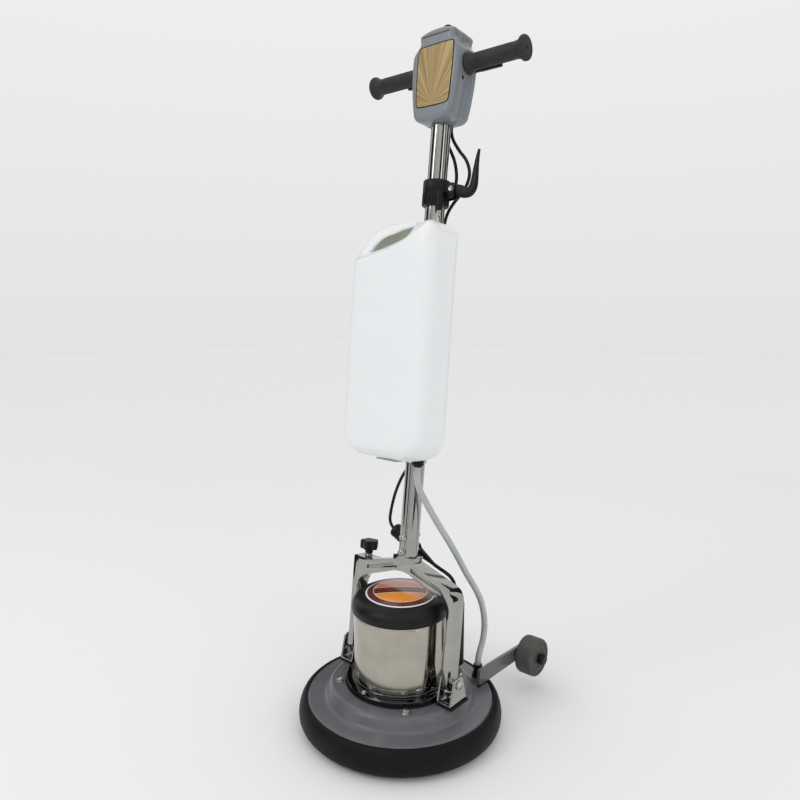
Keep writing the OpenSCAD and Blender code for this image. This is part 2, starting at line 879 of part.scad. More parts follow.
module valve_body()
    color([0.12, 0.12, 0.12])
        on_pole()
            translate([valve_pos[0], valve_pos[1], 0])
                difference() {
                    union() {
                        translate([0, 0, 436])
                            cylinder(r = 9, h = 28);
                        translate([0, 0, 440])
                            cylinder(r = 13, h = 11.5);
                    }
                    translate([0, 0, 430])
                        cylinder(r = 5, h = 40);
                }

// ---- water lever ----

module lever_clamp()
    color([0.05, 0.05, 0.05])
        on_pole()
            difference() {
                union() {
                    translate([0, 0, clamp_z0])
                        cylinder(r = clamp_r, h = clamp_h);
                    translate([guide_pos[0], guide_pos[1], clamp_z0 - 12])
                        cylinder(r = 9, h = 40);
                    translate([20, -11, clamp_z0 + 12])
                        cube([34, 4, 34]);
                    translate([20, 7, clamp_z0 + 12])
                        cube([34, 4, 34]);
                }
                translate([0, 0, clamp_z0 - 20])
                    cylinder(r = pole_r + fit_gap, h = 100);
                translate([guide_pos[0], guide_pos[1], clamp_z0 - 20])
                    cylinder(r = 3, h = 60);
                translate([30, -6.7, clamp_z0 + 11])
                    cube([30, 13.4, 36]);
                translate([lever_x, -20, lever_z])
                    along_y()
                        cylinder(r = 3 + fit_gap, h = 40);
            }

// Line of the guide tube between two heights
function guide_route(z1, z0) = [for (p = [[0, z1], [0, 970], [-5, 960], [-12, 950],
    [-16, 940], [-16, z0]]) [guide_pos[0], guide_pos[1] + p[0], p[1]]];

// Clear guide tube of the push rod, from the clamp down into the tank
module wire_guide()
    color([0.85, 0.85, 0.8])
        on_pole()
            difference() {
                tube(guide_route(clamp_z0 - 12.3, 933), 4.5, 12);
                tube(guide_route(clamp_z0 - 11, 931), 2.5, 12);
            }

// L-shaped finger lever with its pivot screw
module water_lever()
    color([0.08, 0.08, 0.08])
        on_pole() {
            translate([0, 6.3, 0])
                rotate([90, 0, 0])
                    linear_extrude(12.6)
                        difference() {
                            polygon([[34.5, lever_z - 6], [40, lever_z - 12], [62, lever_z - 20],
                                [84, lever_z - 22], [96, lever_z - 18], [103, lever_z - 9],
                                [105, lever_z + 10], [105, lever_z + 66], [103, lever_z + 75],
                                [98, lever_z + 76], [94, lever_z + 68], [89, lever_z + 40],
                                [87, lever_z + 8], [82, lever_z - 1], [70, lever_z + 3],
                                [54, lever_z + 12], [42, lever_z + 12], [34.5, lever_z + 6]]);
                            translate([lever_x, lever_z])
                                circle(r = 3.2);
                        }
            translate([lever_x, -13, lever_z])
                along_y() {
                    cylinder(r = 5.5, h = 1.9);
                    cylinder(r = 3, h = 26);
                }
        }

// Rod that the lever lifts, with the stopper that closes the valve
module valve_rod()
    color([0.55, 0.55, 0.5])
        on_pole()
            translate([valve_pos[0], valve_pos[1], 0]) {
                translate([0, 0, 470])
                    cylinder(r = 2, h = 436);
                translate([0, 0, 464 + gap])
                    cylinder(r = 8, h = 7);
            }

// ---- control box ----

// Right half of the control box's front outline, from the bottom up, shrunk by t
function box_half(t) = [[20, 1158 + t], [36 - t, 1166 + t], [46 - t, 1182],
    [54 - t, 1215], [59 - t, 1245], [60 - t, 1285], [57 - t, 1300], [50 - t, 1313],
    [43 - t, 1321], [44 - t, 1329], [43 - t, 1334 - t / 2], [34 - t, 1341 - t], [12, 1346 - t]];

// The whole outline: the right half and its mirror image
module box_outline(t) {
    right = box_half(t);
    left = [for (i = [len(right) - 1:-1:0]) [-right[i][0], right[i][1]]];
    polygon(concat(right, left));
}

// Solid of the box outline between two depths
module box_slab(y0, y1, t)
    translate([0, y1, 0])
        rotate([90, 0, 0])
            linear_extrude(y1 - y0)
                box_outline(t);

// Openings that both halves of the box share
module box_cuts() {
    translate([0, 0, 1100])
        cylinder(r = pole_r + fit_gap, h = 100);
    translate([-100, grip_y, grip_d])
        along_x()
            cylinder(r = bar_r + fit_gap, h = 200);
    translate([0, -3, 1330])
        cylinder(r = 11.3, h = 30);
}

module front_shell()
    color([0.42, 0.43, 0.45])
        on_pole()
            difference() {
                box_slab(box_y0, box_split, 0);
                box_slab(box_y0 + box_wall, box_split + overlap, box_wall);
                box_cuts();
            }

module rear_shell()
    color([0.42, 0.43, 0.45])
        on_pole()
            difference() {
                box_slab(box_split, box_y1, 0);
                box_slab(box_split - overlap, box_y1 - box_wall, box_wall);
                box_cuts();
                translate([-70, 18, grip_d - 9])
                    cube([140, 12.8, 18]);
                for (x = [8, -9])
                    translate([x, 26, 1150])
                        cylinder(r = 4.2, h = 20);
            }

// Switches inside the box, one under the button and one ahead of the bar
module switch_unit()
    color([0.1, 0.1, 0.1])
        on_pole() {
            translate([-20, -34, 1296])
                cube([40, 20, 20]);
            translate([-22, -8, 1304])
                cube([44, 14, 12]);
        }

module handle_tube()
    color([0.5, 0.5, 0.5])
        on_pole()
            translate([-grip_span / 2 + 4, grip_y, grip_d])
                along_x()
                    difference() {
                        cylinder(r = bar_r, h = grip_span - 8);
                        translate([0, 0, -overlap])
                            cylinder(r = bar_r - 2, h = grip_span);
                    }

module grips()
    color([0.13, 0.13, 0.13])
        on_pole()
            both_sides()
                translate([60.3, grip_y, grip_d])
                    along_x()
                        rotate_extrude($fn = 64)
                            polygon([[bar_r + fit_gap, 0], [23, 0], [24, 2], [23, 8], [18, 12],
                                [grip_r, 16], [grip_r, grip_span / 2 - 74],
                                [19, grip_span / 2 - 70], [24, grip_span / 2 - 67],
                                [24, grip_span / 2 - 62], [22, grip_span / 2 - 60.3],
                                [3, grip_span / 2 - 60.3], [3, grip_span / 2 - 63.5],
                                [bar_r + fit_gap, grip_span / 2 - 63.5]]);

// Lock-off button with a soft domed top
module safety_button()
    color([0.03, 0.03, 0.03])
        on_pole()
            translate([0, -3, 1322])
                rotate_extrude()
                    polygon([[0, 0], [11, 0], [11, 36], [9, 40.5], [5, 42.5], [0, 43]]);

// Bar with two finger paddles, on the operator's side of the grips
module switch_lever()
    color([0.06, 0.06, 0.06])
        on_pole() {
            translate([-122, 25, grip_d - 7])
                cube([244, 5, 14]);
            for (x = [-122, 72])
                translate([x, 23, grip_d - 8])
                    cube([50, 7, 16]);
        }

// ---- cords ----

module motor_cable()
    color([0.03, 0.03, 0.03])
        on_pole()
            tube(motor_cable_route, cable_r);

module mains_lead()
    color([0.03, 0.03, 0.03])
        on_pole()
            tube(mains_lead_route, cable_r);

module mains_plug()
    color([0.04, 0.04, 0.04])
        on_pole()
            translate([-12, 36, 0]) {
                translate([0, -6, 745])
                    cylinder(r = 5, h = 15);
                translate([0, 0, 705])
                    cylinder(r = 12, h = 40);
                for (x = [-6, 6])
                    translate([x, 0, 687])
                        cylinder(r = 2.4, h = 19);
            }

// In-line plug and socket that joins the pole's cable to the motor's cord
module cable_coupler() {
    run = coupler_to - coupler_from;
    turn = atan2(run[1], run[0]);
    dip = atan2(norm([run[0], run[1]]), run[2]);
    color([0.05, 0.05, 0.05])
        translate(coupler_from)
            rotate([0, dip, turn])
                rotate_extrude()
                    polygon([[0, 0], [6, 0], [14, 2], [16, 6], [16, 34], [13, 38], [14, 42],
                        [14, 74], [10, 80], [7, 100], [5, norm(run)], [0, norm(run)]]);
}

module hose()
    color([0.85, 0.86, 0.86])
        tube(hose_route, hose_r, 10);

module motor_cord()
    color([0.03, 0.03, 0.03])
        tube(motor_cord_route, cord_r);

bumper();
base_plate();
plate_bolts();
gasket();
gearbox_housing();
ring_gear();
output_bearing();
motor_flange();
flange_screws();
motor_housing();
stator();
motor_bearings();
end_bell();
motor_cap();
capacitor_cover();
capacitors();
cord_gland();
pivot_brackets();
bracket_pads();
pivot_bolts();
wheel_arms();
wheel_axle();
wheel_caps();
hose_nozzle();
rotor_shaft();
rotor_core();
planet_1();
planet_2();
planet_3();
carrier();
planet_pins();
drive_bolts();
pad_driver();
pad();
wheel_right();
wheel_left();
yoke();
pole();
pole_bolts();
tank();
tank_brackets();
valve_body();
lever_clamp();
wire_guide();
front_shell();
rear_shell();
switch_unit();
handle_tube();
grips();
motor_cable();
cable_coupler();
mains_lead();
mains_plug();
water_lever();
valve_rod();
lock_knob();
safety_button();
switch_lever();
hose();
motor_cord();
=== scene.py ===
"""Looks of a single-disc floor machine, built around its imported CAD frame.

Every sub-assembly is a class that holds its sizes in millimetres and builds its own pieces.
Parts of the upright are drawn in the pole's frame: z runs up the pole from the tilt axis.
"""

import json
import logging
import math
from dataclasses import dataclass, field
from enum import Enum

import bmesh
import bpy
from mathutils import Matrix, Vector


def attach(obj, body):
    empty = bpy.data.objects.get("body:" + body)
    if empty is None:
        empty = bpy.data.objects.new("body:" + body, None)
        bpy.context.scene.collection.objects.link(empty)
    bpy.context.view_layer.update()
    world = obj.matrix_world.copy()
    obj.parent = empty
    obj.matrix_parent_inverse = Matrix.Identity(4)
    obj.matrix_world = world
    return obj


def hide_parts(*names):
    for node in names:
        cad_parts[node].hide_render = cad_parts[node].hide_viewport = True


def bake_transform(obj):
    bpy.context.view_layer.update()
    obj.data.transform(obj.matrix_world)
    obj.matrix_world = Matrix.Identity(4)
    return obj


LOG = logging.getLogger("floor_machine")
MM = 0.001
LEAN = math.radians(6.5)
PIVOT_Z = 137.0
UPRIGHT = Matrix.Translation((0, 0, PIVOT_Z)) @ Matrix.Rotation(-LEAN, 4, "X")
LEVEL = Matrix()
ALONG_X = Matrix.Rotation(math.radians(90), 4, "Y")
ALONG_Y = Matrix.Rotation(math.radians(-90), 4, "X")

Point = tuple[float, float, float]
Flat = tuple[float, float]


class Body(Enum):
    """The CAD bodies that pieces ride on."""

    BASE = "base"
    HANDLE = "handle"
    LEVER = "lever"
    KNOB = "knob"
    BUTTON = "button"
    BAR = "switch_bar"
    RIGHT = "right_wheel"
    LEFT = "left_wheel"
    DRIVE = "drive"


class Side(Enum):
    """The two sides of the machine, as signs along x."""

    RIGHT = 1
    LEFT = -1


# ---------------------------------------------------------------- meshes


def at(x: float = 0.0, y: float = 0.0, z: float = 0.0) -> Matrix:
    """A move by x, y and z."""
    return Matrix.Translation((x, y, z))


def smooth_line(points: list[Point], step: float) -> list[Vector]:
    """Rounds a route off into one curve.

    Args:
        points: The points that the curve passes through.
        step: The distance between two points of the result.

    Returns:
        Points close together on a Catmull-Rom curve.
    """
    raw = [Vector(p) for p in points]
    ends = [raw[0] * 2 - raw[1], *raw, raw[-1] * 2 - raw[-2]]
    line: list[Vector] = []
    for a, b, c, d in zip(ends, ends[1:], ends[2:], ends[3:]):
        count = max(2, round((c - b).length / step))
        for k in range(count):
            t = k / count
            line.append(
                0.5 * (2 * b + (c - a) * t + (2 * a - 5 * b + 4 * c - d) * t * t
                       + (3 * b - a - 3 * c + d) * t * t * t)
            )
    line.append(raw[-1])
    return line


def soften(outline: list[Flat], rounds: int = 2) -> list[Flat]:
    """Cuts the corners of a closed outline.

    Args:
        outline: The corner points in order.
        rounds: How many times each corner is cut.

    Returns:
        The smoother outline.
    """
    for _ in range(rounds):
        cut: list[Flat] = []
        for (ax, ay), (bx, by) in zip(outline, outline[1:] + outline[:1]):
            cut.append((ax * 0.75 + bx * 0.25, ay * 0.75 + by * 0.25))
            cut.append((ax * 0.25 + bx * 0.75, ay * 0.25 + by * 0.75))
        outline = cut
    return outline


def inset(outline: list[Flat], by: float) -> list[Flat]:
    """Moves a counter-clockwise outline inwards by a distance."""
    moved: list[Flat] = []
    count = len(outline)
    for i, (x, y) in enumerate(outline):
        ax, ay = outline[i - 1]
        bx, by_ = outline[(i + 1) % count]
        side = Vector((bx - ax, by_ - ay)).normalized()
        moved.append((x - side.y * by, y + side.x * by))
    return moved


def rounded_rect(
    wide: float, deep: float, radius: float, arc: int = 8, long: int = 14, short: int = 6
) -> list[Flat]:
    """Outline of a rounded rectangle round the origin, with the same count for any size.

    Args:
        wide: Size along x.
        deep: Size along y.
        radius: Radius of the corners.
        arc: Steps in each corner.
        long: Steps along each side that runs in x.
        short: Steps along each side that runs in y.

    Returns:
        The points, counter-clockwise.
    """
    w, d = wide / 2 - radius, deep / 2 - radius
    centres = [(w, d), (-w, d), (-w, -d), (w, -d)]
    points: list[Flat] = []
    for k, (cx, cy) in enumerate(centres):
        for i in range(arc + 1):
            a = math.radians(90 * k + 90 * i / arc)
            points.append((cx + radius * math.cos(a), cy + radius * math.sin(a)))
        nx, ny = centres[(k + 1) % 4]
        turn = math.radians(90 * (k + 1))
        start = points[-1]
        end = (nx + radius * math.cos(turn), ny + radius * math.sin(turn))
        steps = long if k % 2 == 0 else short
        for i in range(1, steps):
            t = i / steps
            points.append((start[0] + (end[0] - start[0]) * t, start[1] + (end[1] - start[1]) * t))
    return points


class Solid:
    """A closed mesh in the making, in millimetres."""

    def __init__(self) -> None:
        """Starts empty."""
        self.bm = bmesh.new()

    @classmethod
    def of_node(cls, node: str) -> "Solid":
        """Starts from a merged copy of a CAD node's mesh."""
        solid = cls()
        solid.bm.from_mesh(FRAME["nodes"][node].data)
        solid.bm.transform(Matrix.Scale(1 / MM, 4))
        bmesh.ops.remove_doubles(solid.bm, verts=solid.bm.verts, dist=0.002)
        bmesh.ops.dissolve_limit(
            solid.bm, angle_limit=math.radians(0.4), verts=solid.bm.verts, edges=solid.bm.edges
        )
        return solid

    def add(self, points: list, faces: list[list[int]], place: Matrix = LEVEL) -> "Solid":
        """Adds points, and faces between them, at a place."""
        verts = [self.bm.verts.new(place @ Vector(p)) for p in points]
        for face in faces:
            ring = list(dict.fromkeys(face))
            if len(ring) > 2:
                self.bm.faces.new([verts[i] for i in ring])
        return self

    def loft(
        self, rings: list[list], place: Matrix = LEVEL, ends: bool = True, loop: bool = False
    ) -> "Solid":
        """Joins rings of equal count into a skin.

        Args:
            rings: The rings of points in order; a ring of one point closes to a tip.
            place: Where the skin goes.
            ends: Whether the first and last rings are filled.
            loop: Whether the last ring joins the first.

        Returns:
            The same solid.
        """
        points: list = []
        index: list[list[int]] = []
        for ring in rings:
            index.append(list(range(len(points), len(points) + len(ring))))
            points.extend(ring)
        turns = max(len(r) for r in rings)
        pairs = list(zip(index, index[1:])) + ([(index[-1], index[0])] if loop else [])
        faces = [
            [a[k % len(a)], a[(k + 1) % turns % len(a)], b[(k + 1) % turns % len(b)], b[k % len(b)]]
            for a, b in pairs
            for k in range(turns)
        ]
        if ends and not loop:
            faces += [index[0][::-1], index[-1]]
        return self.add(points, faces, place)

    def lathe(
        self, profile: list[Flat], place: Matrix = LEVEL, turns: int = 96, loop: bool = True
    ) -> "Solid":
        """Turns a profile of (radius, height) round z; loop closes a profile that is a ring."""
        rings = []
        for r, z in profile:
            angles = [0.0] if r < 1e-6 else [2 * math.pi * k / turns for k in range(turns)]
            rings.append([(r * math.cos(a), r * math.sin(a), z) for a in angles])
        tips = len(rings[0]) == 1 or len(rings[-1]) == 1
        return self.loft(rings, place, ends=False, loop=loop and not tips)

    def prism(self, outline: list[Flat], z0: float, z1: float, place: Matrix = LEVEL) -> "Solid":
        """Raises an outline from z0 to z1."""
        return self.loft([[(x, y, z0) for x, y in outline], [(x, y, z1) for x, y in outline]], place)

    def box(self, low: Point, high: Point, place: Matrix = LEVEL) -> "Solid":
        """Adds a box between two corners."""
        outline = [(low[0], low[1]), (high[0], low[1]), (high[0], high[1]), (low[0], high[1])]
        return self.prism(outline, low[2], high[2], place)

    def tube(self, line: list[Vector], radius: float, sides: int = 16) -> "Solid":
        """Sweeps a round section along a line, with flat ends."""
        rings = []
        side = Vector((1, 0, 0))
        for i, point in enumerate(line):
            ahead = (line[min(i + 1, len(line) - 1)] - line[max(i - 1, 0)]).normalized()
            side = (side - ahead * side.dot(ahead)).normalized()
            other = ahead.cross(side)
            rings.append(
                [
                    point + radius * (math.cos(a) * side + math.sin(a) * other)
                    for a in (2 * math.pi * k / sides for k in range(sides))
                ]
            )
        return self.loft(rings)

    def bevel(self, width: float, segments: int = 2, angle: float = 30.0) -> "Solid":
        """Rounds the edges that turn by more than an angle, in degrees."""
        bmesh.ops.remove_doubles(self.bm, verts=self.bm.verts, dist=1e-3)
        bmesh.ops.recalc_face_normals(self.bm, faces=self.bm.faces)
        edges = [
            e
            for e in self.bm.edges
            if len(e.link_faces) == 2 and e.calc_face_angle(0.0) > math.radians(angle)
        ]
        bmesh.ops.bevel(
            self.bm, geom=edges, offset=width, offset_type="OFFSET", segments=segments,
            profile=0.5, affect="EDGES", clamp_overlap=True,
        )
        return self

    def mesh(self, name: str, place: Matrix = LEVEL, sharp: float = 38.0) -> bpy.types.Mesh:
        """Finishes the mesh.

        Args:
            name: Name of the mesh.
            place: The frame it was drawn in.
            sharp: Edges that turn by more than this, in degrees, stay sharp.

        Returns:
            The mesh in metres, in the row frame, facing outwards.
        """
        self.bm.transform(Matrix.Scale(MM, 4) @ place)
        bmesh.ops.remove_doubles(self.bm, verts=self.bm.verts, dist=1e-6)
        bmesh.ops.recalc_face_normals(self.bm, faces=self.bm.faces)
        mesh = bpy.data.meshes.new(name)
        self.bm.to_mesh(mesh)
        self.bm.free()
        mesh.shade_smooth()
        mesh.set_sharp_from_angle(angle=math.radians(sharp))
        return mesh


def hexagon(across: float) -> list[Flat]:
    """Outline of a hexagon by its width across the flats."""
    r = across / math.sqrt(3)
    return [(r * math.cos(math.radians(60 * k)), r * math.sin(math.radians(60 * k))) for k in range(6)]


# ---------------------------------------------------------------- shader groups


class GroupMaker:
    """Builds one shader group with named inputs and outputs."""

    def __init__(self, name: str, inputs: dict[str, object], outputs: list[tuple[str, str]]) -> None:
        """Makes the tree and its sockets.

        Args:
            name: Name of the group.
            inputs: Input names with their starting values; a tuple is a colour or vector.
            outputs: Pairs of an output's name and its socket type.
        """
        self.tree = bpy.data.node_groups.new(name, "ShaderNodeTree")
        for key, value in inputs.items():
            kind = "NodeSocketFloat"
            if isinstance(value, tuple):
                kind = "NodeSocketColor" if len(value) == 4 else "NodeSocketVector"
            socket = self.tree.interface.new_socket(name=key, in_out="INPUT", socket_type=kind)
            socket.default_value = value
        for key, kind in outputs:
            self.tree.interface.new_socket(name=key, in_out="OUTPUT", socket_type=kind)
        self.source = self.tree.nodes.new("NodeGroupInput")
        self.sink = self.tree.nodes.new("NodeGroupOutput")

    def node(self, kind: str, settings: dict | None = None, **links: object) -> bpy.types.Node:
        """Adds a node.

        Args:
            kind: The node's type.
            settings: Properties to set on it.
            **links: Inputs by name or, as i0 and i1, by number; a socket is linked and a value is set.

        Returns:
            The new node.
        """
        return add_node(self.tree, kind, settings, **links)


def add_node(
    tree: bpy.types.NodeTree, kind: str, settings: dict | None = None, **links: object
) -> bpy.types.Node:
    """Adds a node to a tree, sets its properties and fills its inputs."""
    node = tree.nodes.new(kind)
    for key, value in (settings or {}).items():
        setattr(node, key, value)
    for key, value in links.items():
        numbered = key[0] == "i" and key[1:].isdigit()
        socket = node.inputs[int(key[1:])] if numbered else node.inputs[key.replace("_", " ")]
        if isinstance(value, bpy.types.NodeSocket):
            tree.links.new(value, socket)
        else:
            socket.default_value = value
    return node


class Effects:
    """The effects that many finishes share, each built once."""

    def __init__(self) -> None:
        """Builds every group."""
        self.mottle = self._mottle()
        self.grain = self._grain()
        self.smudge = self._smudge()
        self.brushed = self._brushed()
        self.scuffs = self._scuffs()

    @staticmethod
    def _mottle() -> bpy.types.NodeTree:
        """Slow change of colour between a base and a tint."""
        g = GroupMaker(
            "soft_mottle",
            {"Place": (0.0, 0.0, 0.0), "Base": (0.5, 0.5, 0.5, 1.0), "Tint": (0.4, 0.4, 0.4, 1.0),
             "Scale": 20.0, "Amount": 0.5},
            [("Colour", "NodeSocketColor")],
        )
        s = g.source.outputs
        noise = g.node("ShaderNodeTexNoise", i0=s["Place"], Scale=s["Scale"], Detail=5.0, Roughness=0.6)
        band = g.node("ShaderNodeMapRange", None, Value=noise.outputs["Fac"])
        band.inputs["From Min"].default_value = 0.35
        band.inputs["From Max"].default_value = 0.65
        share = g.node("ShaderNodeMath", {"operation": "MULTIPLY"}, i0=band.outputs[0], i1=s["Amount"])
        mix = g.node("ShaderNodeMix", {"data_type": "RGBA"}, i0=share.outputs[0], i6=s["Base"], i7=s["Tint"])
        g.tree.links.new(mix.outputs[2], g.sink.inputs["Colour"])
        return g.tree

    @staticmethod
    def _grain() -> bpy.types.NodeTree:
        """Fine moulded or cast grain, as a height."""
        g = GroupMaker(
            "fine_grain",
            {"Place": (0.0, 0.0, 0.0), "Scale": 900.0, "Depth": 0.5},
            [("Height", "NodeSocketFloat")],
        )
        s = g.source.outputs
        noise = g.node("ShaderNodeTexNoise", i0=s["Place"], Scale=s["Scale"], Detail=3.0, Roughness=0.55)
        cells = g.node("ShaderNodeTexVoronoi", i0=s["Place"], Scale=s["Scale"])
        both = g.node(
            "ShaderNodeMath", {"operation": "MULTIPLY"}, i0=noise.outputs["Fac"],
            i1=cells.outputs["Distance"]
        )
        deep = g.node("ShaderNodeMath", {"operation": "MULTIPLY"}, i0=both.outputs[0], i1=s["Depth"])
        g.tree.links.new(deep.outputs[0], g.sink.inputs["Height"])
        return g.tree

    @staticmethod
    def _smudge() -> bpy.types.NodeTree:
        """Handling marks that change the roughness."""
        g = GroupMaker(
            "handling_marks",
            {"Place": (0.0, 0.0, 0.0), "Roughness": 0.3, "Spread": 0.1, "Scale": 30.0},
            [("Roughness", "NodeSocketFloat")],
        )
        s = g.source.outputs
        noise = g.node("ShaderNodeTexNoise", i0=s["Place"], Scale=s["Scale"], Detail=6.0, Roughness=0.65)
        low = g.node("ShaderNodeMath", {"operation": "SUBTRACT"}, i0=noise.outputs["Fac"], i1=0.5)
        wide = g.node("ShaderNodeMath", {"operation": "MULTIPLY"}, i0=low.outputs[0], i1=s["Spread"])
        total = g.node(
            "ShaderNodeMath", {"operation": "ADD", "use_clamp": True}, i0=wide.outputs[0], i1=s["Roughness"]
        )
        g.tree.links.new(total.outputs[0], g.sink.inputs["Roughness"])
        return g.tree

    @staticmethod
    def _brushed() -> bpy.types.NodeTree:
        """Long thin polishing lines, stretched along one direction."""
        g = GroupMaker(
            "polishing_lines",
            {"Place": (0.0, 0.0, 0.0), "Stretch": (200.0, 200.0, 4.0), "Depth": 0.5},
            [("Height", "NodeSocketFloat"), ("Mask", "NodeSocketFloat")],
        )
        s = g.source.outputs
        long = g.node("ShaderNodeVectorMath", {"operation": "MULTIPLY"}, i0=s["Place"], i1=s["Stretch"])
        noise = g.node("ShaderNodeTexNoise", i0=long.outputs[0], Scale=1.0, Detail=5.0, Roughness=0.7)
        deep = g.node("ShaderNodeMath", {"operation": "MULTIPLY"}, i0=noise.outputs["Fac"], i1=s["Depth"])
        g.tree.links.new(deep.outputs[0], g.sink.inputs["Height"])
        g.tree.links.new(noise.outputs["Fac"], g.sink.inputs["Mask"])
        return g.tree

    @staticmethod
    def _scuffs() -> bpy.types.NodeTree:
        """Sparse pale scuffs, as a mask."""
        g = GroupMaker(
            "pale_scuffs",
            {"Place": (0.0, 0.0, 0.0), "Scale": 60.0, "Amount": 0.3},
            [("Mask", "NodeSocketFloat")],
        )
        s = g.source.outputs
        noise = g.node("ShaderNodeTexNoise", i0=s["Place"], Scale=s["Scale"], Detail=8.0, Roughness=0.75)
        peak = g.node("ShaderNodeMapRange", None, Value=noise.outputs["Fac"])
        peak.inputs["From Min"].default_value = 0.62
        peak.inputs["From Max"].default_value = 0.74
        share = g.node("ShaderNodeMath", {"operation": "MULTIPLY"}, i0=peak.outputs[0], i1=s["Amount"])
        g.tree.links.new(share.outputs[0], g.sink.inputs["Mask"])
        return g.tree


# ---------------------------------------------------------------- finishes

Colour = tuple[float, float, float]


@dataclass(frozen=True)
class Finish:
    """A finish made of mottled colour, handling marks, grain and scuffs.

    Attributes:
        slot: The record's material slot.
        base: Main colour.
        tint: Colour that it drifts to.
        rough: Mean roughness.
        metal: Metallic share.
        spread: How far handling marks change the roughness.
        grain: Grains per metre.
        depth: Depth of the grain in millimetres.
        scuff: Share of pale scuffs.
        coat: Weight of a clear coat.
        stretch: Polishing lines per metre along x, y and z, or None for grain.
        through: Weight of the light that passes through.
        under: Weight of the light that scatters under the surface.
        mottle: Patches of colour per metre.
        gloss: Strength of the highlights of a finish that isn't metal.
        glow: Strength of a painted glow, emitted in the base colour, that stands in for daylight coming
            through the wall from behind.
    """

    slot: str
    base: Colour
    tint: Colour
    rough: float
    metal: float = 0.0
    spread: float = 0.12
    grain: float = 900.0
    depth: float = 0.02
    scuff: float = 0.0
    coat: float = 0.0
    stretch: Colour | None = None
    through: float = 0.0
    under: float = 0.0
    mottle: float = 22.0
    gloss: float = 0.5
    glow: float = 0.0

    def make(self, effects: Effects) -> bpy.types.Material:
        """Builds the material from the shared effects."""
        material = bpy.data.materials.new(self.slot)
        material.use_nodes = True
        tree = material.node_tree
        shader = tree.nodes["Principled BSDF"]
        place = add_node(tree, "ShaderNodeTexCoord").outputs["Object"]
        colour = add_node(
            tree, "ShaderNodeGroup", {"node_tree": effects.mottle}, Place=place,
            Base=(*self.base, 1.0), Tint=(*self.tint, 1.0), Scale=self.mottle, Amount=0.8,
        ).outputs[0]
        if self.scuff > 0:
            mask = add_node(
                tree, "ShaderNodeGroup", {"node_tree": effects.scuffs}, Place=place, Amount=self.scuff
            ).outputs[0]
            pale = (*(min(1.0, c * 1.8 + 0.08) for c in self.base), 1.0)
            colour = add_node(
                tree, "ShaderNodeMix", {"data_type": "RGBA"}, i0=mask, i6=colour, i7=pale
            ).outputs[2]
        tree.links.new(colour, shader.inputs["Base Color"])
        rough = add_node(
            tree, "ShaderNodeGroup", {"node_tree": effects.smudge}, Place=place,
            Roughness=self.rough, Spread=self.spread,
        ).outputs[0]
        tree.links.new(rough, shader.inputs["Roughness"])
        if self.stretch:
            height = add_node(
                tree, "ShaderNodeGroup", {"node_tree": effects.brushed}, Place=place, Stretch=self.stretch,
                Depth=1.0
            ).outputs["Height"]
        else:
            height = add_node(
                tree, "ShaderNodeGroup", {"node_tree": effects.grain}, Place=place, Scale=self.grain,
                Depth=1.0
            ).outputs["Height"]
        bump = add_node(tree, "ShaderNodeBump", None, Strength=0.6, Distance=self.depth * MM, Height=height)
        tree.links.new(bump.outputs[0], shader.inputs["Normal"])
        shader.inputs["Metallic"].default_value = self.metal
        shader.inputs["Coat Weight"].default_value = self.coat
        shader.inputs["Coat Roughness"].default_value = 0.08
        shader.inputs["Specular IOR Level"].default_value = self.gloss
        # Painted glow: the part emits its own base colour at the glow strength, though it is no lamp.
        shader.inputs["Emission Color"].default_value = (*self.base, 1.0)
        shader.inputs["Emission Strength"].default_value = self.glow
        shader.inputs["Transmission Weight"].default_value = self.through
        shader.inputs["Subsurface Weight"].default_value = self.under
        shader.inputs["Subsurface Scale"].default_value = 0.01
        return material


@dataclass(frozen=True)
class FanFinish:
    """Gold foil, brushed in a fan from one point; its bright and dark rays are painted highlights of that
    brushing.

    Attributes:
        centre: The fan's centre in the row frame, in metres.
    """

    centre: Point
    slot: str = "gold_foil"

    def make(self, effects: Effects) -> bpy.types.Material:
        """Builds the foil: its colour follows the angle round the centre, as rays of painted highlight."""
        material = bpy.data.materials.new(self.slot)
        material.use_nodes = True
        tree = material.node_tree
        shader = tree.nodes["Principled BSDF"]
        place = add_node(tree, "ShaderNodeTexCoord").outputs["Object"]
        local = add_node(
            tree, "ShaderNodeVectorMath", {"operation": "SUBTRACT"}, i0=place, i1=self.centre
        ).outputs[0]
        parts = add_node(tree, "ShaderNodeSeparateXYZ", None, i0=local).outputs
        angle = add_node(
            tree, "ShaderNodeMath", {"operation": "ARCTAN2"}, i0=parts[0], i1=parts[2]
        ).outputs[0]
        ray = add_node(tree, "ShaderNodeCombineXYZ", None, i0=angle, i1=0.0, i2=0.0).outputs[0]
        painted_highlight_rays = add_node(
            tree, "ShaderNodeTexNoise", None, i0=ray, Scale=5.0, Detail=7.0, Roughness=0.8
        ).outputs["Fac"]
        ramp = add_node(tree, "ShaderNodeValToRGB", None, i0=painted_highlight_rays)
        # Painted highlights: noise of the angle sets the colour between a dark and a bright gold, standing in
        # for light on the brushed fan.
        ramp.color_ramp.elements[0].position = 0.34
        ramp.color_ramp.elements[0].color = (0.10, 0.062, 0.02, 1)
        ramp.color_ramp.elements[1].position = 0.68
        ramp.color_ramp.elements[1].color = (0.62, 0.46, 0.22, 1)
        tree.links.new(ramp.outputs[0], shader.inputs["Base Color"])
        rough = add_node(
            tree, "ShaderNodeGroup", {"node_tree": effects.smudge}, Place=place, Roughness=0.42, Spread=0.15
        ).outputs[0]
        tree.links.new(rough, shader.inputs["Roughness"])
        shader.inputs["Metallic"].default_value = 0.55
        return material


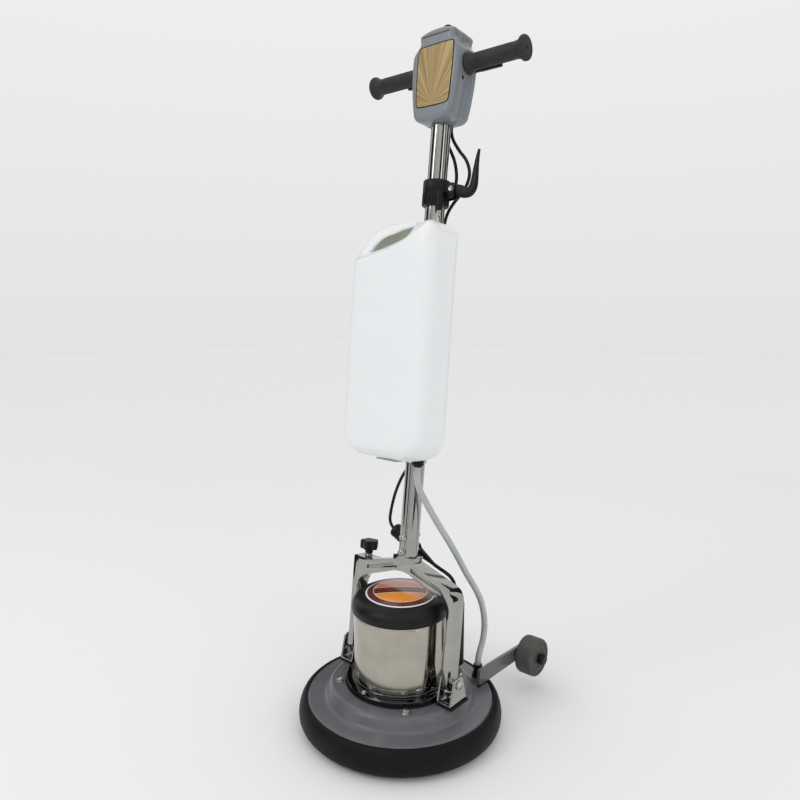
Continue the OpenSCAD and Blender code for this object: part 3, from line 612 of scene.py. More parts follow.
@dataclass(frozen=True)
class BadgeFinish:
    """Printed round badge: rings, two halves and a slanting band, with no lettering.

    Attributes:
        turn: Angle of the band round z, in degrees.
    """

    turn: float = 43.0
    slot: str = "printed_badge"

    def make(self, effects: Effects) -> bpy.types.Material:
        """Builds the print from the distance to the centre and across the band."""
        material = bpy.data.materials.new(self.slot)
        material.use_nodes = True
        tree = material.node_tree
        shader = tree.nodes["Principled BSDF"]
        place = add_node(tree, "ShaderNodeTexCoord").outputs["Object"]
        turned = add_node(tree, "ShaderNodeVectorRotate", {"rotation_type": "Z_AXIS"}, i0=place)
        turned.inputs["Angle"].default_value = math.radians(-self.turn)
        parts = add_node(tree, "ShaderNodeSeparateXYZ", None, i0=turned.outputs[0]).outputs
        flat = add_node(
            tree, "ShaderNodeVectorMath", {"operation": "MULTIPLY"}, i0=place, i1=(1.0, 1.0, 0.0)
        ).outputs[0]
        far = add_node(tree, "ShaderNodeVectorMath", {"operation": "LENGTH"}, i0=flat).outputs["Value"]

        def step(
            value: bpy.types.NodeSocket, edge: float, kind: str = "GREATER_THAN"
        ) -> bpy.types.NodeSocket:
            """Mask of where a value passes an edge."""
            return add_node(tree, "ShaderNodeMath", {"operation": kind}, i0=value, i1=edge).outputs[0]

        def paint(under: object, mask: bpy.types.NodeSocket, colour: Colour) -> bpy.types.NodeSocket:
            """Lays a colour over another where the mask is one."""
            return add_node(
                tree, "ShaderNodeMix", {"data_type": "RGBA"}, i0=mask, i6=under, i7=(*colour, 1.0)
            ).outputs[2]

        across = parts[1]
        wide = add_node(tree, "ShaderNodeMath", {"operation": "ABSOLUTE"}, i0=across).outputs[0]
        colour = paint((0.62, 0.17, 0.035, 1.0), step(across, 0.0, "LESS_THAN"), (0.85, 0.30, 0.03))
        colour = paint(colour, step(wide, 0.0155, "LESS_THAN"), (0.80, 0.72, 0.66))
        colour = paint(colour, step(wide, 0.0138, "LESS_THAN"), (0.115, 0.02, 0.015))
        colour = paint(colour, step(far, 0.0575), (0.80, 0.72, 0.66))
        colour = paint(colour, step(far, 0.0588), (0.105, 0.02, 0.015))
        colour = paint(colour, step(far, 0.0722), (0.86, 0.86, 0.84))
        tree.links.new(colour, shader.inputs["Base Color"])
        rough = add_node(
            tree, "ShaderNodeGroup", {"node_tree": effects.smudge}, Place=place, Roughness=0.32, Spread=0.1
        ).outputs[0]
        tree.links.new(rough, shader.inputs["Roughness"])
        shader.inputs["Coat Weight"].default_value = 0.5
        return material


@dataclass
class Paintbox:
    """Makes each finish once and hands it out by name."""

    effects: Effects
    made: dict[str, bpy.types.Material] = field(default_factory=dict)

    def get(self, name: str) -> bpy.types.Material:
        """The material of a finish."""
        if name not in self.made:
            self.made[name] = FINISHES[name].make(self.effects)
        return self.made[name]


MOTTLED = (
    Finish(
        "black_rubber", (0.005, 0.005, 0.005), (0.009, 0.009, 0.009), 0.50, depth=0.05, grain=1400,
        scuff=0.12, gloss=0.14,
    ),
    Finish(
        "grey_paint", (0.098, 0.103, 0.112), (0.115, 0.121, 0.130), 0.36, depth=0.06, grain=1600,
        spread=0.1, coat=0.15,
    ),
    Finish(
        "zinc_steel", (0.58, 0.56, 0.51), (0.46, 0.45, 0.42), 0.27, 1.0, depth=0.02, stretch=(260, 260, 40),
    ),
    Finish("cast_alloy", (0.42, 0.43, 0.44), (0.33, 0.34, 0.35), 0.5, 1.0, depth=0.08, grain=700),
    Finish("gear_steel", (0.36, 0.36, 0.37), (0.27, 0.27, 0.29), 0.34, 1.0, stretch=(300, 300, 60)),
    Finish("bearing_steel", (0.66, 0.66, 0.67), (0.55, 0.55, 0.57), 0.18, 1.0, stretch=(60, 60, 500)),
    Finish(
        "dark_chrome", (0.085, 0.085, 0.09), (0.06, 0.06, 0.065), 0.10, 1.0, spread=0.08,
        stretch=(80, 80, 260), depth=0.01,
    ),
    Finish(
        "polished_steel", (0.46, 0.435, 0.38), (0.39, 0.37, 0.32), 0.13, 1.0, spread=0.09,
        stretch=(320, 320, 6), depth=0.012, scuff=0.05,
    ),
    Finish(
        "lamination", (0.36, 0.32, 0.28), (0.25, 0.22, 0.2), 0.5, 1.0, stretch=(10, 10, 1500), depth=0.1,
    ),
    Finish(
        "black_plastic", (0.005, 0.005, 0.005), (0.009, 0.009, 0.009), 0.38, depth=0.04, grain=1500,
        scuff=0.04, gloss=0.25,
    ),
    Finish("capacitor_can", (0.70, 0.71, 0.73), (0.6, 0.61, 0.63), 0.3, 1.0, stretch=(200, 200, 10)),
    Finish(
        "chrome", (0.40, 0.395, 0.38), (0.34, 0.335, 0.32), 0.07, 1.0, spread=0.06, stretch=(120, 120, 20),
        depth=0.006,
    ),
    Finish("dark_plastic", (0.05, 0.05, 0.055), (0.08, 0.08, 0.085), 0.5, depth=0.06),
    Finish("pad_fibre", (0.014, 0.014, 0.014), (0.045, 0.043, 0.04), 0.9, depth=0.9, grain=420, mottle=300),
    Finish(
        "wheel_rubber", (0.062, 0.061, 0.056), (0.095, 0.093, 0.086), 0.62, depth=0.08, grain=900,
        scuff=0.2, gloss=0.3,
    ),
    Finish(
        "tank_plastic", (0.86, 0.865, 0.875), (0.83, 0.84, 0.855), 0.34, depth=0.05, grain=500, spread=0.08,
        under=0.25, mottle=6,
    ),
    Finish(
        "clear_tube", (0.86, 0.85, 0.78), (0.8, 0.79, 0.72), 0.12, through=0.75, spread=0.05, depth=0.01,
    ),
    Finish(
        "grey_plastic", (0.185, 0.205, 0.225), (0.205, 0.224, 0.245), 0.30, depth=0.03, grain=1300,
        spread=0.08, coat=0.2,
    ),
    Finish(
        "grip_rubber", (0.026, 0.028, 0.027), (0.036, 0.038, 0.037), 0.52, depth=0.05, grain=1500,
        scuff=0.1, gloss=0.25,
    ),
    Finish(
        "cord_rubber", (0.004, 0.004, 0.004), (0.008, 0.008, 0.008), 0.40, depth=0.03, grain=1800,
        gloss=0.25,
    ),
    Finish(
        "hose_silicone", (0.47, 0.50, 0.51), (0.40, 0.43, 0.44), 0.32, depth=0.03, under=0.3, mottle=35,
        spread=0.06,
    ),
    # The tank's inner skin: the same plastic as tank_plastic, drawn darker and greener. The darkening is
    # painted shade inside the filling mouth, and its glow is a painted glow for daylight through the wall.
    Finish("tank_inside", (0.50, 0.53, 0.46), (0.42, 0.45, 0.38), 0.5, depth=0.03, grain=500, glow=0.22),
    Finish("white_print", (0.78, 0.60, 0.25), (0.74, 0.55, 0.2), 0.4, depth=0.005),
)

FINISHES: dict[str, Finish | FanFinish | BadgeFinish] = {
    **{finish.slot: finish for finish in MOTTLED},
    "gold_foil": FanFinish((0.0, 0.088, 1.325)),
    "printed_badge": BadgeFinish(),
}


# ---------------------------------------------------------------- repeats


class Repeat(Enum):
    """How a seed shape is repeated."""

    RING = "ring"
    ROW = "row"


class Repeater:
    """Geometry trees that repeat a seed shape round an axis or along a line."""

    def __init__(self) -> None:
        """Builds both trees."""
        self.trees = {Repeat.RING: self._tree(Repeat.RING), Repeat.ROW: self._tree(Repeat.ROW)}

    @staticmethod
    def _tree(kind: Repeat) -> bpy.types.NodeTree:
        """Builds the tree of one kind, with its count, step and material as inputs."""
        tree = bpy.data.node_groups.new(f"repeat_{kind.value}", "GeometryNodeTree")
        face = tree.interface
        face.new_socket(name="Geometry", in_out="INPUT", socket_type="NodeSocketGeometry")
        face.new_socket(name="Count", in_out="INPUT", socket_type="NodeSocketInt")
        face.new_socket(name="Step", in_out="INPUT", socket_type="NodeSocketVector")
        face.new_socket(name="Material", in_out="INPUT", socket_type="NodeSocketMaterial")
        face.new_socket(name="Geometry", in_out="OUTPUT", socket_type="NodeSocketGeometry")
        source = tree.nodes.new("NodeGroupInput").outputs
        line = add_node(tree, "GeometryNodeMeshLine", {"mode": "OFFSET"}, Count=source["Count"])
        place = add_node(
            tree, "GeometryNodeInstanceOnPoints", None, Points=line.outputs[0], Instance=source["Geometry"]
        )
        if kind is Repeat.ROW:
            tree.links.new(source["Step"], line.inputs["Offset"])
        else:
            line.inputs["Offset"].default_value = (0, 0, 0)
            index = add_node(tree, "GeometryNodeInputIndex").outputs[0]
            turn = add_node(
                tree, "ShaderNodeVectorMath", {"operation": "SCALE"}, i0=source["Step"], Scale=index
            )
            tree.links.new(turn.outputs[0], place.inputs["Rotation"])
        real = add_node(tree, "GeometryNodeRealizeInstances", None, Geometry=place.outputs[0])
        done = add_node(
            tree, "GeometryNodeSetMaterial", None, Geometry=real.outputs[0], Material=source["Material"]
        )
        sink = tree.nodes.new("NodeGroupOutput")
        tree.links.new(done.outputs[0], sink.inputs[0])
        return tree

    def make(
        self, seed: bpy.types.Mesh, kind: Repeat, count: int, step: Point,
        material: bpy.types.Material, place: Matrix = LEVEL,
    ) -> bpy.types.Mesh:
        """Repeats a seed and returns one plain mesh.

        Args:
            seed: The shape to repeat, in metres.
            kind: Round z, or along a line.
            count: How many there are.
            step: The angles in radians, or the offset in metres, between two of them.
            material: The material they all take.
            place: Where the whole set goes, in millimetres.

        Returns:
            The realized mesh.
        """
        tree = self.trees[kind]
        holder = bpy.data.objects.new("repeat_seed", seed)
        bpy.context.scene.collection.objects.link(holder)
        modifier = holder.modifiers.new("repeat", "NODES")
        modifier.node_group = tree
        keys = {s.name: s.identifier for s in tree.interface.items_tree if s.in_out == "INPUT"}
        modifier[keys["Count"]] = count
        modifier[keys["Step"]] = step
        modifier[keys["Material"]] = material
        bpy.context.view_layer.update()
        graph = bpy.context.evaluated_depsgraph_get()
        mesh = bpy.data.meshes.new_from_object(holder.evaluated_get(graph))
        holder.modifiers.remove(modifier)
        bpy.data.objects.remove(holder)
        mesh.transform(Matrix.Scale(MM, 4) @ place @ Matrix.Scale(1 / MM, 4))
        mesh.set_sharp_from_angle(angle=math.radians(38))
        return mesh


# ---------------------------------------------------------------- workshop


@dataclass
class Workshop:
    """What every sub-assembly needs to finish its pieces."""

    paints: Paintbox
    repeater: Repeater

    def piece(
        self, name: str, mesh: bpy.types.Mesh, body: Body | None, finish: str,
        stands_for: tuple[str, ...] = ()
    ) -> bpy.types.Object:
        """Makes a piece of the machine.

        Args:
            name: The piece's name.
            mesh: Its mesh, in the row frame.
            body: The body it rides on, or None to leave it on no body here.
            finish: The name of its finish.
            stands_for: The CAD nodes that it replaces.

        Returns:
            The new object.
        """
        obj = bpy.data.objects.new(name, mesh)
        bpy.context.scene.collection.objects.link(obj)
        if not mesh.materials:
            mesh.materials.append(self.paints.get(finish))
        if body:
            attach(obj, body.value)
        if stands_for:
            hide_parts(*stands_for)
        LOG.info("piece %s: %d faces", name, len(mesh.polygons))
        return obj

    def refined(
        self, node: str, body: Body, finish: str, width: float, segments: int = 2
    ) -> bpy.types.Object:
        """A copy of a CAD node with its edges rounded, which stands for the node."""
        solid = Solid.of_node(node).bevel(width, segments)
        return self.piece(f"{node}_finished", solid.mesh(node), body, finish, (node,))

    def repeat(
        self, name: str, seed: Solid, kind: Repeat, count: int, step: Point, body: Body,
        finish: str, place: Matrix = LEVEL, stands_for: tuple[str, ...] = (),
    ) -> bpy.types.Object:
        """A piece made of repeats of one seed shape."""
        material = self.paints.get(finish)
        mesh = self.repeater.make(seed.mesh(name), kind, count, step, material, place)
        return self.piece(name, mesh, body, finish, stands_for)

    def cut(self, mesh: bpy.types.Mesh, cutters: list[bpy.types.Mesh]) -> bpy.types.Mesh:
        """Cuts shapes out of a mesh and returns the result."""
        target = bpy.data.objects.new("cut_target", mesh)
        bpy.context.scene.collection.objects.link(target)
        tools = []
        for i, shape in enumerate(cutters):
            tool = bpy.data.objects.new(f"cut_tool_{i}", shape)
            bpy.context.scene.collection.objects.link(tool)
            tools.append(tool)
            modifier = target.modifiers.new(f"cut_{i}", "BOOLEAN")
            modifier.object = tool
            modifier.operation = "DIFFERENCE"
            modifier.solver = "EXACT"
        bpy.context.view_layer.update()
        graph = bpy.context.evaluated_depsgraph_get()
        result = bpy.data.meshes.new_from_object(target.evaluated_get(graph))
        for obj in [target, *tools]:
            bpy.data.objects.remove(obj)
        result.shade_smooth()
        result.set_sharp_from_angle(angle=math.radians(38))
        return result


# ---------------------------------------------------------------- studio


@dataclass
class Studio:
    """Camera, floor and soft light.

    Attributes:
        lens: Focal length for a 36 mm wide sensor.
        eye: Where the camera stands, in metres.
        pitch: How far it looks down, in radians.
        heading: How far it is turned about z, in radians.
    """

    lens: float = 31.172
    eye: Point = (0.92285, -1.09955, 0.90587)
    pitch: float = 0.1303
    heading: float = 0.7235

    def build(self) -> None:
        """Sets up the whole studio."""
        self.camera()
        self.floor()
        self.lights()
        self.flags()

    def camera(self) -> None:
        """Makes the scene's camera."""
        data = bpy.data.cameras.new("camera")
        data.lens = self.lens
        data.sensor_width = 36.0
        data.shift_x = 0.0205
        data.shift_y = -0.0033
        camera = bpy.data.objects.new("camera", data)
        camera.location = self.eye
        camera.rotation_euler = (math.pi / 2 - self.pitch, 0.0, self.heading)
        bpy.context.scene.collection.objects.link(camera)
        bpy.context.scene.camera = camera

    def floor(self) -> None:
        """Lays a plain pale floor."""
        mesh = bpy.data.meshes.new("floor")
        size = 12.0
        mesh.from_pydata(
            [(-size, -size, 0), (size, -size, 0), (size, size, 0), (-size, size, 0)], [], [(0, 1, 2, 3)]
        )
        floor = bpy.data.objects.new("floor", mesh)
        bpy.context.scene.collection.objects.link(floor)
        material = bpy.data.materials.new("floor")
        material.use_nodes = True
        shader = material.node_tree.nodes["Principled BSDF"]
        shader.inputs["Base Color"].default_value = (0.85, 0.85, 0.85, 1)
        shader.inputs["Roughness"].default_value = 0.9
        mesh.materials.append(material)

    def lights(self) -> None:
        """Hangs the lamps and lights the surroundings."""
        world = bpy.data.worlds.new("studio")
        bpy.context.scene.world = world
        world.use_nodes = True
        tree = world.node_tree
        way = add_node(tree, "ShaderNodeTexCoord").outputs["Generated"]
        high = add_node(tree, "ShaderNodeSeparateXYZ", None, i0=way).outputs[2]
        ramp = add_node(tree, "ShaderNodeMapRange", None, Value=high)
        ramp.inputs["From Min"].default_value = -0.2
        ramp.inputs["From Max"].default_value = 0.9
        ramp.inputs["To Min"].default_value = 0.74
        ramp.inputs["To Max"].default_value = 0.96
        tree.links.new(ramp.outputs[0], tree.nodes["Background"].inputs["Strength"])
        tree.nodes["Background"].inputs["Color"].default_value = (1.0, 1.0, 1.0, 1)
        for name, place, size, power in (
            ("key", (-0.9, -2.4, 2.6), 1.2, 13.0),
            ("fill", (2.6, -0.6, 1.7), 1.2, 5.0),
        ):
            data = bpy.data.lights.new(name, "AREA")
            data.shape = "DISK"
            data.size = size
            data.energy = power
            lamp = bpy.data.objects.new(name, data)
            lamp.location = place
            aim = Vector((0, 0, 0.7)) - Vector(place)
            lamp.rotation_euler = aim.to_track_quat("-Z", "Y").to_euler()
            bpy.context.scene.collection.objects.link(lamp)
        bpy.context.scene.view_settings.view_transform = "Standard"

    def flags(self) -> None:
        """Stands dark flags round the set, seen only as streaks in polished metal."""
        material = bpy.data.materials.new("flag")
        material.use_nodes = True
        shader = material.node_tree.nodes["Principled BSDF"]
        shader.inputs["Base Color"].default_value = (0.012, 0.012, 0.013, 1)
        shader.inputs["Roughness"].default_value = 1.0
        for i, (angle, near, wide) in enumerate(
            (
                (-150.0, 2.6, 1.5), (-104.0, 2.6, 0.5), (-84.0, 2.6, 0.14), (-22.0, 2.4, 0.9),
                (10.0, 2.4, 0.4), (40.0, 2.6, 0.9), (80.0, 3.0, 1.4), (150.0, 3.0, 1.4)
            )
        ):
            a = math.radians(angle)
            solid = Solid().box((-wide * 500, -4, 20), (wide * 500, 4, 3000))
            place = Matrix.Rotation(a - math.pi / 2, 4, "Z") @ at(0, near * 1000, 0)
            flag = bpy.data.objects.new(f"flag_{i}", solid.mesh(f"flag_{i}", place))
            flag.data.materials.append(material)
            bpy.context.scene.collection.objects.link(flag)
            flag.visible_camera = False
            flag.visible_shadow = False
            flag.visible_diffuse = False


# ---------------------------------------------------------------- cords


@dataclass
class Cords:
    """The hose and the leads, each on its own route."""

    shop: Workshop
    hose_r: float = 7.0
    lead_r: float = 3.5
    cord_r: float = 4.0
    hose: list[Point] = field(default_factory=lambda: [
        (44, 1.6, 575.1), (44, 0, 560), (44, 3, 541), (44, 13, 520), (46, 29, 494), (50, 49, 462),
        (57, 71, 426), (65, 93, 390), (73, 114, 352), (81, 134, 314), (88, 153, 282), (93, 170, 250),
        (96, 181, 216), (98, 184, 182), (98, 179, 150), (97.5, 168, 126), (97, 162, 109), (97, 161, 101),
        (97, 161, 96.3)])
    cable: list[Point] = field(default_factory=lambda: [
        (8, 26, 1168), (8, 26, 1150), (13, 29, 1132), (27, 34, 1110), (45, 37, 1088), (55, 38, 1062),
        (50, 40, 1039), (34, 42, 1019), (16, 40, 998), (7, 34, 974), (5, 30, 940), (5, 30, 840),
        (5, 30, 740), (5, 30, 640), (5, 30, 540), (0, 31, 500), (-14, 33, 464), (-38, 36, 430),
        (-66, 40, 392), (-84, 43, 354), (-92, 43, 320), (-93.5, 41, 296.5), (-92.5, 40, 289.2),
        (-89.6, 38.9, 282.5), (-85, 37.9, 276.8), (-79, 37.3, 272.6), (-76.35, 37.54, 271.2)])
    mains: list[Point] = field(default_factory=lambda: [
        (-9, 26, 1168), (-9, 26, 1150), (-5, 29, 1132), (7, 31, 1110), (18, 32, 1088), (24, 34, 1062),
        (22, 37, 1040), (11, 38, 1018), (-2, 36, 996), (-9, 33, 970), (-12, 30, 935), (-12, 30, 880),
        (-12, 30, 820), (-12, 30, 760.1)])
    cord: list[Point] = field(default_factory=lambda: [
        (30.5, 72, 345.7), (38, 73.2, 341.3), (47, 79.5, 333.5), (54, 91, 323), (58.5, 104, 310),
        (60, 115, 294), (59.2, 121, 277), (57, 123, 265), (57, 123, 258.3)])
    coupler_from: Point = (-76, 68, 402)
    coupler_to: Point = (30, 72, 346)

    def run(
        self, name: str, route: list[Point], radius: float, frame: Matrix, finish: str, node: str
    ) -> tuple:
        """Makes one cord as a smooth tube.

        Args:
            name: Name of the piece.
            route: The points it passes through.
            radius: Radius of the cord.
            frame: The frame that the route is in.
            finish: Its finish.
            node: The CAD node that it stands for.

        Returns:
            The object, its path in metres and its length in metres.
        """
        line = [frame @ p for p in smooth_line(route, radius * 1.2)]
        mesh = Solid().tube(line, radius, 20).mesh(name)
        obj = self.shop.piece(name, mesh, None, finish, (node,))
        path = [tuple(p * MM) for p in line]
        length = sum((b - a).length for a, b in zip(line, line[1:])) * MM
        LOG.info("cord %s: %.3f m long", name, length)
        return obj, path, length

    def build(self) -> None:
        coupler = self.coupler()
        plug = self.plug()
        hose, path, length = self.run("hose_tube", self.hose, self.hose_r, LEVEL, "hose_silicone", "hose")
        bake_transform(hose)
        cord, path, length = self.run(
            "motor_cord_tube", self.cord, self.cord_r, LEVEL, "cord_rubber", "motor_cord"
        )
        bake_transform(cord)
        cable, path, length = self.run(
            "motor_cable_tube", self.cable, self.lead_r, UPRIGHT, "cord_rubber", "motor_cable"
        )
        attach(cable, "handle")
        mains, path, length = self.run(
            "mains_lead_tube", self.mains, self.lead_r, UPRIGHT, "cord_rubber", "mains_lead"
        )
        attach(mains, "handle")

    def coupler(self) -> bpy.types.Object:
        """The in-line plug and socket behind the pole, with grip ridges and a strain relief."""
        start, end = Vector(self.coupler_from), Vector(self.coupler_to)
        run = end - start
        place = at(*start) @ run.to_track_quat("Z", "Y").to_matrix().to_4x4()
        far = run.length
        profile = [
            (0, 0), (5.5, 0), (6.5, 0.6), (13, 1.6), (15, 3), (16, 6), (16, 12), (14.9, 13.2), (14.9, 15.5),
            (16, 16.7), (16, 20), (14.9, 21.2), (14.9, 23.5), (16, 24.7), (16, 32), (15, 35), (12.6, 37.5),
            (12.6, 40.5), (14, 42), (14, 72), (13, 75), (10.5, 78.5), (9.8, 81)
        ]
        for k in range(5):
            z = 83 + 6.5 * k
            r = 9.2 - 0.8 * k
            profile += [(r, z), (r, z + 3.6), (r - 1.3, z + 4.3), (r - 1.3, z + 5.8)]
        profile += [(5, far - 1.5), (4.6, far), (0, far)]
        solid = Solid().lathe(profile, place, 48, loop=False)
        return self.shop.piece("cable_coupler_body", solid.mesh("cable_coupler_body"), Body.HANDLE,
                               "black_plastic", ("cable_coupler",))

    def plug(self) -> bpy.types.Object:
        """The mains plug at the end of the short lead, with its two pins."""
        neck = [(0, 760), (4.4, 760), (5, 758.6), (5, 756), (4.2, 755.2), (4.2, 753.6), (5, 752.8), (5, 750),
                (4.2, 749.2), (4.2, 747.6), (5, 746.8), (5, 740), (0, 740)]
        body = [
            (0, 745), (6.5, 745), (9.5, 743.5), (11, 740), (12, 733), (12, 709), (11.4, 706), (10, 705),
            (0, 705)
        ]
        pin = [(0, 706), (2.4, 706), (2.4, 689), (1.6, 687.3), (0, 687)]
        solid = Solid().lathe(neck, at(-12, 30), 32, loop=False).lathe(body, at(-12, 36), 48, loop=False)
        for x in (-18, -6):
            solid.lathe(pin, at(x, 36), 24, loop=False)
        return self.shop.piece("mains_plug_body", solid.mesh("mains_plug_body", UPRIGHT), Body.HANDLE,
                               "black_plastic", ("mains_plug",))


# ---------------------------------------------------------------- head


@dataclass
class Head:
    """Bumper, painted base plate and what is bolted to it."""

    shop: Workshop
    plate_r: float = 203.0
    land_z: float = 93.0
    bolt_ring: float = 132.0
    screw_ring: float = 110.0

    def build(self) -> None:
        """Makes the head's pieces."""
        self.bumper()
        self.plate()
        self.bolts()
        self.pad()
        self.nozzle()
        ring = [(72, 93), (119.8, 93), (120.5, 93.6), (120.5, 96.4), (119.8, 97), (72, 97)]
        mesh = Solid().lathe(ring, turns=128).mesh("gasket_ring")
        self.shop.piece("gasket_ring", mesh, Body.BASE, "black_rubber", ("gasket",))

    def bumper(self) -> None:
        """The thick rubber skirt with its soft rolled shoulder."""
        r = self.plate_r + 0.3
        outline = [
            (r, 57), (r, 62.6), (r + 0.6, 63.8), (r + 1.8, 64.4), (r + 4.5, 64.1), (r + 8, 61.8),
            (r + 11.5, 58), (r + 14.5, 52.2), (r + 17, 44.6), (r + 18.5, 37), (r + 18.65, 31), (r + 18, 23),
            (r + 15.4, 16), (r + 11, 10.5), (r + 6, 7.4), (r + 1, 6.2), (r - 2.5, 6.4), (r - 4.3, 7.6),
            (r - 4.3, 28), (r - 9.3, 30), (r - 9.3, 40), (r, 42)
        ]
        mesh = Solid().lathe(outline, turns=192).mesh("bumper_skirt", sharp=50)
        self.shop.piece("bumper_skirt", mesh, Body.BASE, "black_rubber", ("bumper",))

    def plate(self) -> None:
        """The painted casting: rolled edge, sloping rim, rounded step and flat land."""
        top = [
            (56, 93), (141, 93), (145.5, 92.6), (149, 91.2), (152, 88.8), (154.6, 85.4), (157, 81),
            (159, 76.8), (161, 73), (163.4, 69.8), (166.6, 67.8), (171, 66.9), (180, 66.1), (192, 65.0),
            (198.5, 64.2), (201.4, 63.2), (202.7, 61.6), (203, 59.5), (203, 43.5), (202.4, 43), (198, 41)
        ]
        under = [
            (198, 57), (190, 60), (165, 62), (158, 65), (154, 73), (149, 82), (144, 87), (140, 88),
            (86, 88), (86, 80), (80, 80), (80, 87.5), (71.3, 87), (71.3, 91), (56, 91)
        ]
        mesh = Solid().lathe(top + under, turns=192).mesh("plate", sharp=50)
        cutters = [
            Solid().lathe(
                [(0, 40), (8.05, 40), (8.05, 80), (0, 80)], at(97, 161), 48, False
            ).mesh("nozzle_hole")
        ]
        for side in Side:
            low = 117.7 if side is Side.RIGHT else -126.3
            cutters.append(Solid().box((low, 120, 52), (low + 8.6, 210, 112)).mesh("arm_slot"))
        mesh = self.shop.cut(mesh, cutters)
        self.shop.piece("base_plate_casting", mesh, Body.BASE, "grey_paint", ("base_plate",))

    def bolts(self) -> None:
        """Hexagon bolts round the land, and smaller ones round the motor flange."""
        for name, ring, z, size, high, start, node in (
            ("plate_bolt_set", self.bolt_ring, self.land_z, 13.0, 5.0, 45.0, "plate_bolts"),
            ("flange_screw_set", self.screw_ring, 105.0, 8.0, 3.0, -93.0, "flange_screws"),
        ):
            washer = size * 0.69
            seed = Solid().prism(hexagon(size), z + 1, z + 1 + high, at(ring)).bevel(0.5, 2, 20)
            seed.lathe(
                [
                    (0, z), (washer - 0.3, z), (washer, z + 0.3), (washer, z + 0.8),
                    (washer - 0.4, z + 1.2), (0, z + 1.2)
                ],
                at(ring), 40, loop=False
            )
            seed.lathe(
                [
                    (0, z + 1 + high), (size * 0.36, z + 1 + high), (size * 0.3, z + 1.35 + high),
                    (0, z + 1.5 + high)
                ],
                at(ring), 32, loop=False
            )
            seed.lathe([(0, z - 18), (3, z - 18), (4, z - 16.5), (4, z), (0, z)] if size > 10 else
                       [(0, z - 18), (2, z - 18), (2.5, z - 17), (2.5, z), (0, z)], at(ring), 32, loop=False)
            turn = Matrix.Rotation(math.radians(start), 4, "Z")
            self.shop.repeat(
                name, seed, Repeat.RING, 4, (0, 0, math.pi / 2), Body.BASE, "zinc_steel", turn, (node,)
            )

    def pad(self) -> None:
        """The open fibre pad, with a worn soft edge and a slightly uneven side."""
        profile = [
            (0, 0), (90, 0), (186, 0), (188.6, 0.8), (189.8, 2.6), (190, 6), (189.4, 10), (190, 15),
            (189.8, 19.4), (188.4, 21.4), (186, 22), (90, 22), (0, 22)
        ]
        mesh = Solid().lathe(profile, turns=192, loop=False).mesh("fibre_pad", sharp=60)
        pad = self.shop.piece("fibre_pad", mesh, Body.DRIVE, "pad_fibre", ("pad",))

    def nozzle(self) -> None:
        """The barbed hose nozzle with its collar, standing in the plate."""
        profile = [
            (4, 54), (8, 54), (8, 67), (12.4, 67), (13, 67.6), (13, 74.4), (12.4, 75), (10.6, 75), (10, 76),
            (10, 79), (9.2, 80), (9.2, 82), (10, 83), (10, 86), (9.2, 87), (9.2, 89), (10, 90), (10, 95),
            (9, 96), (4, 96)
        ]
        mesh = Solid().lathe(profile, at(97, 161), 64).mesh("hose_nozzle_body")
        self.shop.piece("hose_nozzle_body", mesh, Body.BASE, "black_plastic", ("hose_nozzle",))


